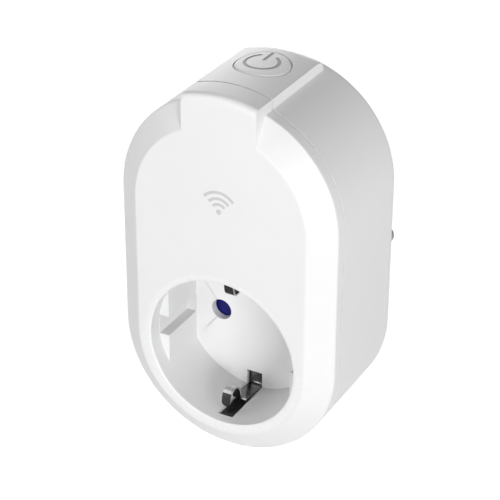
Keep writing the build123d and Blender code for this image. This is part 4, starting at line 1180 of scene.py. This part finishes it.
# for each finish: its base colour, or the setting that holds it; its roughness; its other values
FINISHES = {
    "satin_white_shell": ("white", 0.42, {"spread": 0.008, "grain": 2600.0, "bump": 0.05}),
    # painted light: lighter than the shell white, on the cup's floor and ledges
    "satin_white_cup": ("well", 0.36, {"spread": 0.008, "grain": 2200.0}),
    # painted shade: a darker copy of the cup white on its walls and grooves
    "matt_cup_wall": ("well_wall", 0.5, {"spread": 0.012, "grain": 3000.0, "bump": 0.06}),
    # painted light: a lighter copy of the shell white on the band round the mouth
    "polished_rim": ("rim", 0.3, {"spread": 0.006, "grain": 2600.0, "bump": 0.02}),
    "printed_grey": ("print_grey", 0.5, {"grain": 4000.0, "bump": 0.08}),
    # painted shade: a darker grey on the floor and walls of the power sign's engraving
    "engraved_grey": ("sign_grey", 0.55, {"grain": 3000.0, "bump": 0.06}),
    # drawn plate, with lines along the metal
    "nickel_plate": (
        "nickel", 0.22,
        {"metal": 1.0, "spread": 0.4, "bump": 0.12, "stretch": (1.5, 6, 6), "rough_spread": 0.08},
    ),
    # painted shade: a darker copy of the nickel on the clips' legs, standing in for the dark they reflect
    "worn_nickel": (
        "nickel", 0.42,
        {
            "shade": 0.15, "metal": 1.0, "spread": 0.4, "bump": 0.12, "stretch": (8, 1, 2),
            "rough_spread": 0.08,
        },
    ),
    # painted light: a lighter copy of the nickel on the clips' arches, standing in for the light they
    # reflect
    "polished_nickel": (
        "nickel", 0.3,
        {
            "shade": 2.5, "metal": 1.0, "spread": 0.25, "bump": 0.1, "stretch": (8, 1, 2),
            "rough_spread": 0.08,
        },
    ),
    # painted highlight: a bright copy of the nickel on the clips' side faces near the face
    "sheared_edge": ("edge", 0.2, {"metal": 1.0, "spread": 0.08, "bump": 0.08}),
    "zinc_screws": ((0.45, 0.46, 0.48), 0.34, {"metal": 1.0, "spread": 0.12, "grain": 1500.0, "bump": 0.1}),
    "contact_brass": (
        (0.72, 0.52, 0.22), 0.3,
        {"metal": 1.0, "spread": 0.1, "grain": 1200.0, "bump": 0.1, "stretch": (3, 1, 1)},
    ),
    "shutter_blue": ("shutter", 0.45, {"spread": 0.15, "grain": 1800.0, "bump": 0.06, "specular": 0.15}),
    "light_guide": (
        (0.86, 0.88, 0.9), 0.12,
        {"spread": 0.02, "grain": 1500.0, "bump": 0.02, "rough_spread": 0.03, "transmission": 0.85},
    ),
    "board_laminate": (
        (0.02, 0.14, 0.06), 0.42,
        {"spread": 0.2, "grain": 2400.0, "bump": 0.08, "flecks": (420.0, (0.06, 0.26, 0.12))},
    ),
    "component_black": ((0.018, 0.018, 0.02), 0.5, {"spread": 0.25, "grain": 2000.0, "bump": 0.1}),
    "varistor_blue": ((0.02, 0.12, 0.42), 0.35, {"spread": 0.1, "grain": 700.0, "bump": 0.12}),
    "fuse_body": ((0.32, 0.16, 0.09), 0.45, {"spread": 0.12, "grain": 1500.0, "bump": 0.08}),
    "lamp_body": ((0.9, 0.86, 0.62), 0.25, {"spread": 0.05, "grain": 1800.0}),
}

# the record's material slots whose finish has another name
SLOT_FINISHES = {
    "white_shell": "satin_white_shell",
    "inner_plastic": "satin_white_cup",
    "zinc_steel": "zinc_screws",
    "clear_guide": "light_guide",
}

made_finishes = {}


def set_inputs(tree, node, inputs):
    """Sets a node's inputs, by name or number. Another node's output is linked."""
    for key, value in inputs.items():
        if isinstance(value, bpy.types.NodeSocket):
            tree.links.new(value, node.inputs[key])
        else:
            node.inputs[key].default_value = value


def add_node(tree, kind, inputs=None, **settings):
    """Adds a shader node and gives its outputs."""
    node = tree.nodes.new("ShaderNode" + kind)
    for name, value in settings.items():
        setattr(node, name, value)
    set_inputs(tree, node, inputs or {})
    return node.outputs


def ramp(tree, factor, tones, places=(0.0, 1.0)):
    """Runs from one colour to another."""
    node = add_node(tree, "ValToRGB", {"Fac": factor})["Color"].node
    for number, (place, tone) in enumerate(zip(places, tones)):
        node.color_ramp.elements[number].position = place
        node.color_ramp.elements[number].color = (*tone, 1)
    return node.outputs["Color"]


def new_material(name):
    material = bpy.data.materials.new(name)
    material.use_nodes = True
    return material, material.node_tree


def finish(name):
    """The finish of this name, made when it's first asked for."""
    if name not in made_finishes:
        base, roughness, values = FINISHES[name]
        if isinstance(base, str):
            base = getattr(bpy.context.scene.plug_finish, base)
        made_finishes[name] = make_finish(name, base, roughness, **values)
    return made_finishes[name]


def make_finish(name, base, roughness, shade=1.0, metal=0.0, spread=0.03, grain=900.0, bump=0.04,
                stretch=(1, 1, 1), rough_spread=0.06, specular=0.5, transmission=0.0, flecks=None):
    """Procedural finish on object coordinates: slow colour drift, uneven gloss and a fine surface."""
    material, tree = new_material(name)
    place = add_node(tree, "TexCoord")["Object"]
    place = add_node(tree, "Mapping", {"Vector": place, "Scale": stretch})["Vector"]
    drift, fine = (
        add_node(tree, "TexNoise", {"Vector": place, "Scale": scale, "Detail": detail})["Fac"]
        for scale, detail in ((55.0, 3.0), (grain, 4.0))
    )
    base = [c * shade for c in base]
    tones = ([c * (1 - spread) for c in base], [min(1.0, c * (1 + spread)) for c in base])
    tone = ramp(tree, drift, tones, (0.3, 0.7))
    if flecks:
        scale, speck = flecks
        near = add_node(tree, "TexVoronoi", {"Vector": place, "Scale": scale})["Distance"]
        limits = {"From Min": 0.0, "From Max": 0.25, "To Min": 1.0, "To Max": 0.0}
        mask = add_node(tree, "MapRange", {"Value": near, **limits})["Result"]
        tone = add_node(tree, "Mix", {"Factor": mask, 6: tone, 7: (*speck, 1)}, data_type="RGBA")[2]
    limits = {"From Min": 0.3, "From Max": 0.7, "To Min": roughness - rough_spread}
    gloss = add_node(tree, "MapRange", {"Value": fine, **limits, "To Max": roughness + rough_spread})
    relief = add_node(tree, "Bump", {"Height": fine, "Strength": bump, "Distance": 0.05 * MM})
    set_inputs(tree, tree.nodes["Principled BSDF"], {
        "Base Color": tone,
        "Metallic": metal,
        "Roughness": gloss["Result"],
        "Specular IOR Level": specular,
        "Transmission Weight": transmission,
        "Normal": relief["Normal"],
    })
    return material


class SMARTPLUG_OT_finishes(bpy.types.Operator):
    """Gives every piece of the frame its finish, from the record's material slots"""

    bl_idname = "smart_plug.finishes"
    bl_label = "Frame Finishes"

    def execute(self, context):
        for part in frame["record"]["subparts"]:
            piece = frame["nodes"][part["node"]]
            made = finish(SLOT_FINISHES.get(part["material_slot"], part["material_slot"]))
            if not piece.material_slots:
                piece.data.materials.append(made)
            for slot in piece.material_slots:
                slot.material = made
        return {"FINISHED"}


# ---------------------------------------------------------------- stage


def seen_directly(tree):
    """1 for rays from the camera, reflected or refracted, 0 for light that falls on a surface."""
    ray = add_node(tree, "LightPath")
    seen = ray["Is Camera Ray"]
    for other in ("Is Glossy Ray", "Is Transmission Ray"):
        seen = add_node(tree, "Math", {0: seen, 1: ray[other]}, operation="MAXIMUM")[0]
    return seen


def floor_material(tone, glow):
    """Pale surface that looks white to the camera yet keeps the plug's shadow."""
    material, tree = new_material("pale_floor")
    place = add_node(tree, "TexCoord")["Object"]
    noise = add_node(tree, "TexNoise", {"Vector": place, "Scale": 4.0})["Fac"]
    light = add_node(tree, "Math", {0: seen_directly(tree), 1: glow}, operation="MULTIPLY")[0]
    set_inputs(tree, tree.nodes["Principled BSDF"], {
        "Base Color": ramp(tree, noise, ([tone * 0.99] * 3, [tone] * 3)),
        "Roughness": 0.9,
        "Specular IOR Level": 0.1,
        "Emission Color": (1, 1, 1, 1),
        "Emission Strength": light,
    })
    return material


def towards(azimuth, elevation):
    """Direction out from the plug: azimuth goes from the front round to the right."""
    return Vector((sin(azimuth) * cos(elevation), -cos(azimuth) * cos(elevation), sin(elevation)))


class SMARTPLUG_OT_stage(bpy.types.Operator):
    """Pale floor, soft studio lamps and the camera"""

    bl_idname = "smart_plug.stage"
    bl_label = "Stage"

    # name, azimuth and elevation in degrees, share of a full white level
    lamps = (
        ("key_lamp", 45, 5, 0.61),
        ("high_left_lamp", -65, 32, 0.25),
        ("back_left_low_lamp", -150, 5, 0.22),
        ("left_lamp", -20, 5, 0.205),
        ("front_lamp", 10, 5, 0.185),
        ("back_left_high_lamp", -150, 32, 0.15),
        ("right_lamp", 80, 5, 0.15),
        ("top_right_lamp", 60, 60, 0.09),
        ("near_right_lamp", 60, 18, 0.09),
        ("back_right_lamp", 115, 5, 0.025),
    )

    def execute(self, context):
        st, scene = context.scene.plug_stage, context.scene
        under = Matrix.Translation((0, 0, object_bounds()[0].z - 0.02 * MM))
        bm = bmesh.new()
        bmesh.ops.create_grid(bm, x_segments=8, y_segments=8, size=6.0, matrix=under)
        mesh = bpy.data.meshes.new("floor")
        bm.to_mesh(mesh)
        bm.free()
        mesh.materials.append(floor_material(0.55, 0.84))
        floor = show("floor", mesh)
        floor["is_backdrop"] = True
        centre = Vector((0, FRONT + 18 * MM, 18 * MM))
        for name, azimuth, elevation, share in self.lamps:
            out = towards(radians(azimuth), radians(elevation))
            data = bpy.data.lights.new(name, "AREA")
            data.shape = "DISK"
            data.size = st.lamp_width
            # a disc of this power lights a white surface at the plug to its share of white
            data.energy = share * pi * pi * st.lamp_distance ** 2 * st.lamp_level
            lamp = show(name, data)
            lamp.location = centre + out * st.lamp_distance
            lamp.rotation_mode = "QUATERNION"
            lamp.rotation_quaternion = (-out).to_track_quat("-Z", "Y")
        self.room(scene, st)
        self.camera(scene, st)
        scene.view_settings.view_transform = "Standard"
        return {"FINISHED"}

    def room(self, scene, st):
        world = bpy.data.worlds.new("room")
        scene.world = world
        world.use_nodes = True
        tree = world.node_tree
        limits = {"To Min": st.room_level, "To Max": 1.0}
        level = add_node(tree, "MapRange", {"Value": seen_directly(tree), **limits})["Result"]
        set_inputs(tree, tree.nodes["Background"], {"Color": (1, 1, 1, 1), "Strength": level})

    def camera(self, scene, st):
        aim = Vector((st.aim_across, FRONT + st.aim_back, st.aim_up))
        data = bpy.data.cameras.new("camera")
        data.lens = st.lens
        data.sensor_width = 36.0
        data.clip_start = 0.01
        camera = show("camera", data)
        camera.location = aim + towards(st.azimuth, st.elevation) * st.distance
        camera.rotation_mode = "QUATERNION"
        level = Euler((pi / 2 - st.elevation, 0, st.azimuth)).to_quaternion()
        camera.rotation_quaternion = level @ Euler((0, 0, st.roll)).to_quaternion()
        scene.camera = camera


# ---------------------------------------------------------------- add-on


class SMARTPLUG_PT_panel(bpy.types.Panel):
    """Lists the plug's pieces and their sizes"""

    bl_idname = "SMARTPLUG_PT_panel"
    bl_label = "Smart Plug"
    bl_space_type = "VIEW_3D"
    bl_region_type = "UI"
    bl_category = "Smart Plug"

    def draw(self, context):
        for operator in OPERATORS:
            self.layout.operator(operator.bl_idname)
        for group in GROUPS:
            box = self.layout.box()
            settings = getattr(context.scene, group)
            for name in settings.__annotations__:
                box.prop(settings, name)


OPERATORS = (
    SMARTPLUG_OT_finishes,
    SMARTPLUG_OT_front_cover,
    SMARTPLUG_OT_rear_housing,
    SMARTPLUG_OT_socket_cup,
    SMARTPLUG_OT_power_button,
    SMARTPLUG_OT_wireless_sign,
    SMARTPLUG_OT_earth_clips,
    SMARTPLUG_OT_plug_pins,
    SMARTPLUG_OT_screws,
    SMARTPLUG_OT_stage,
)


def register():
    for cls in (*GROUPS.values(), *OPERATORS, SMARTPLUG_PT_panel):
        bpy.utils.register_class(cls)
    for name, group in GROUPS.items():
        setattr(bpy.types.Scene, name, bpy.props.PointerProperty(type=group))


def unregister():
    for name in GROUPS:
        delattr(bpy.types.Scene, name)
    for cls in reversed((*GROUPS.values(), *OPERATORS, SMARTPLUG_PT_panel)):
        bpy.utils.unregister_class(cls)


def main():
    register()
    for operator in OPERATORS:
        group, name = operator.bl_idname.split(".")
        getattr(getattr(bpy.ops, group), name)()


if __name__ == "__main__":
    main()
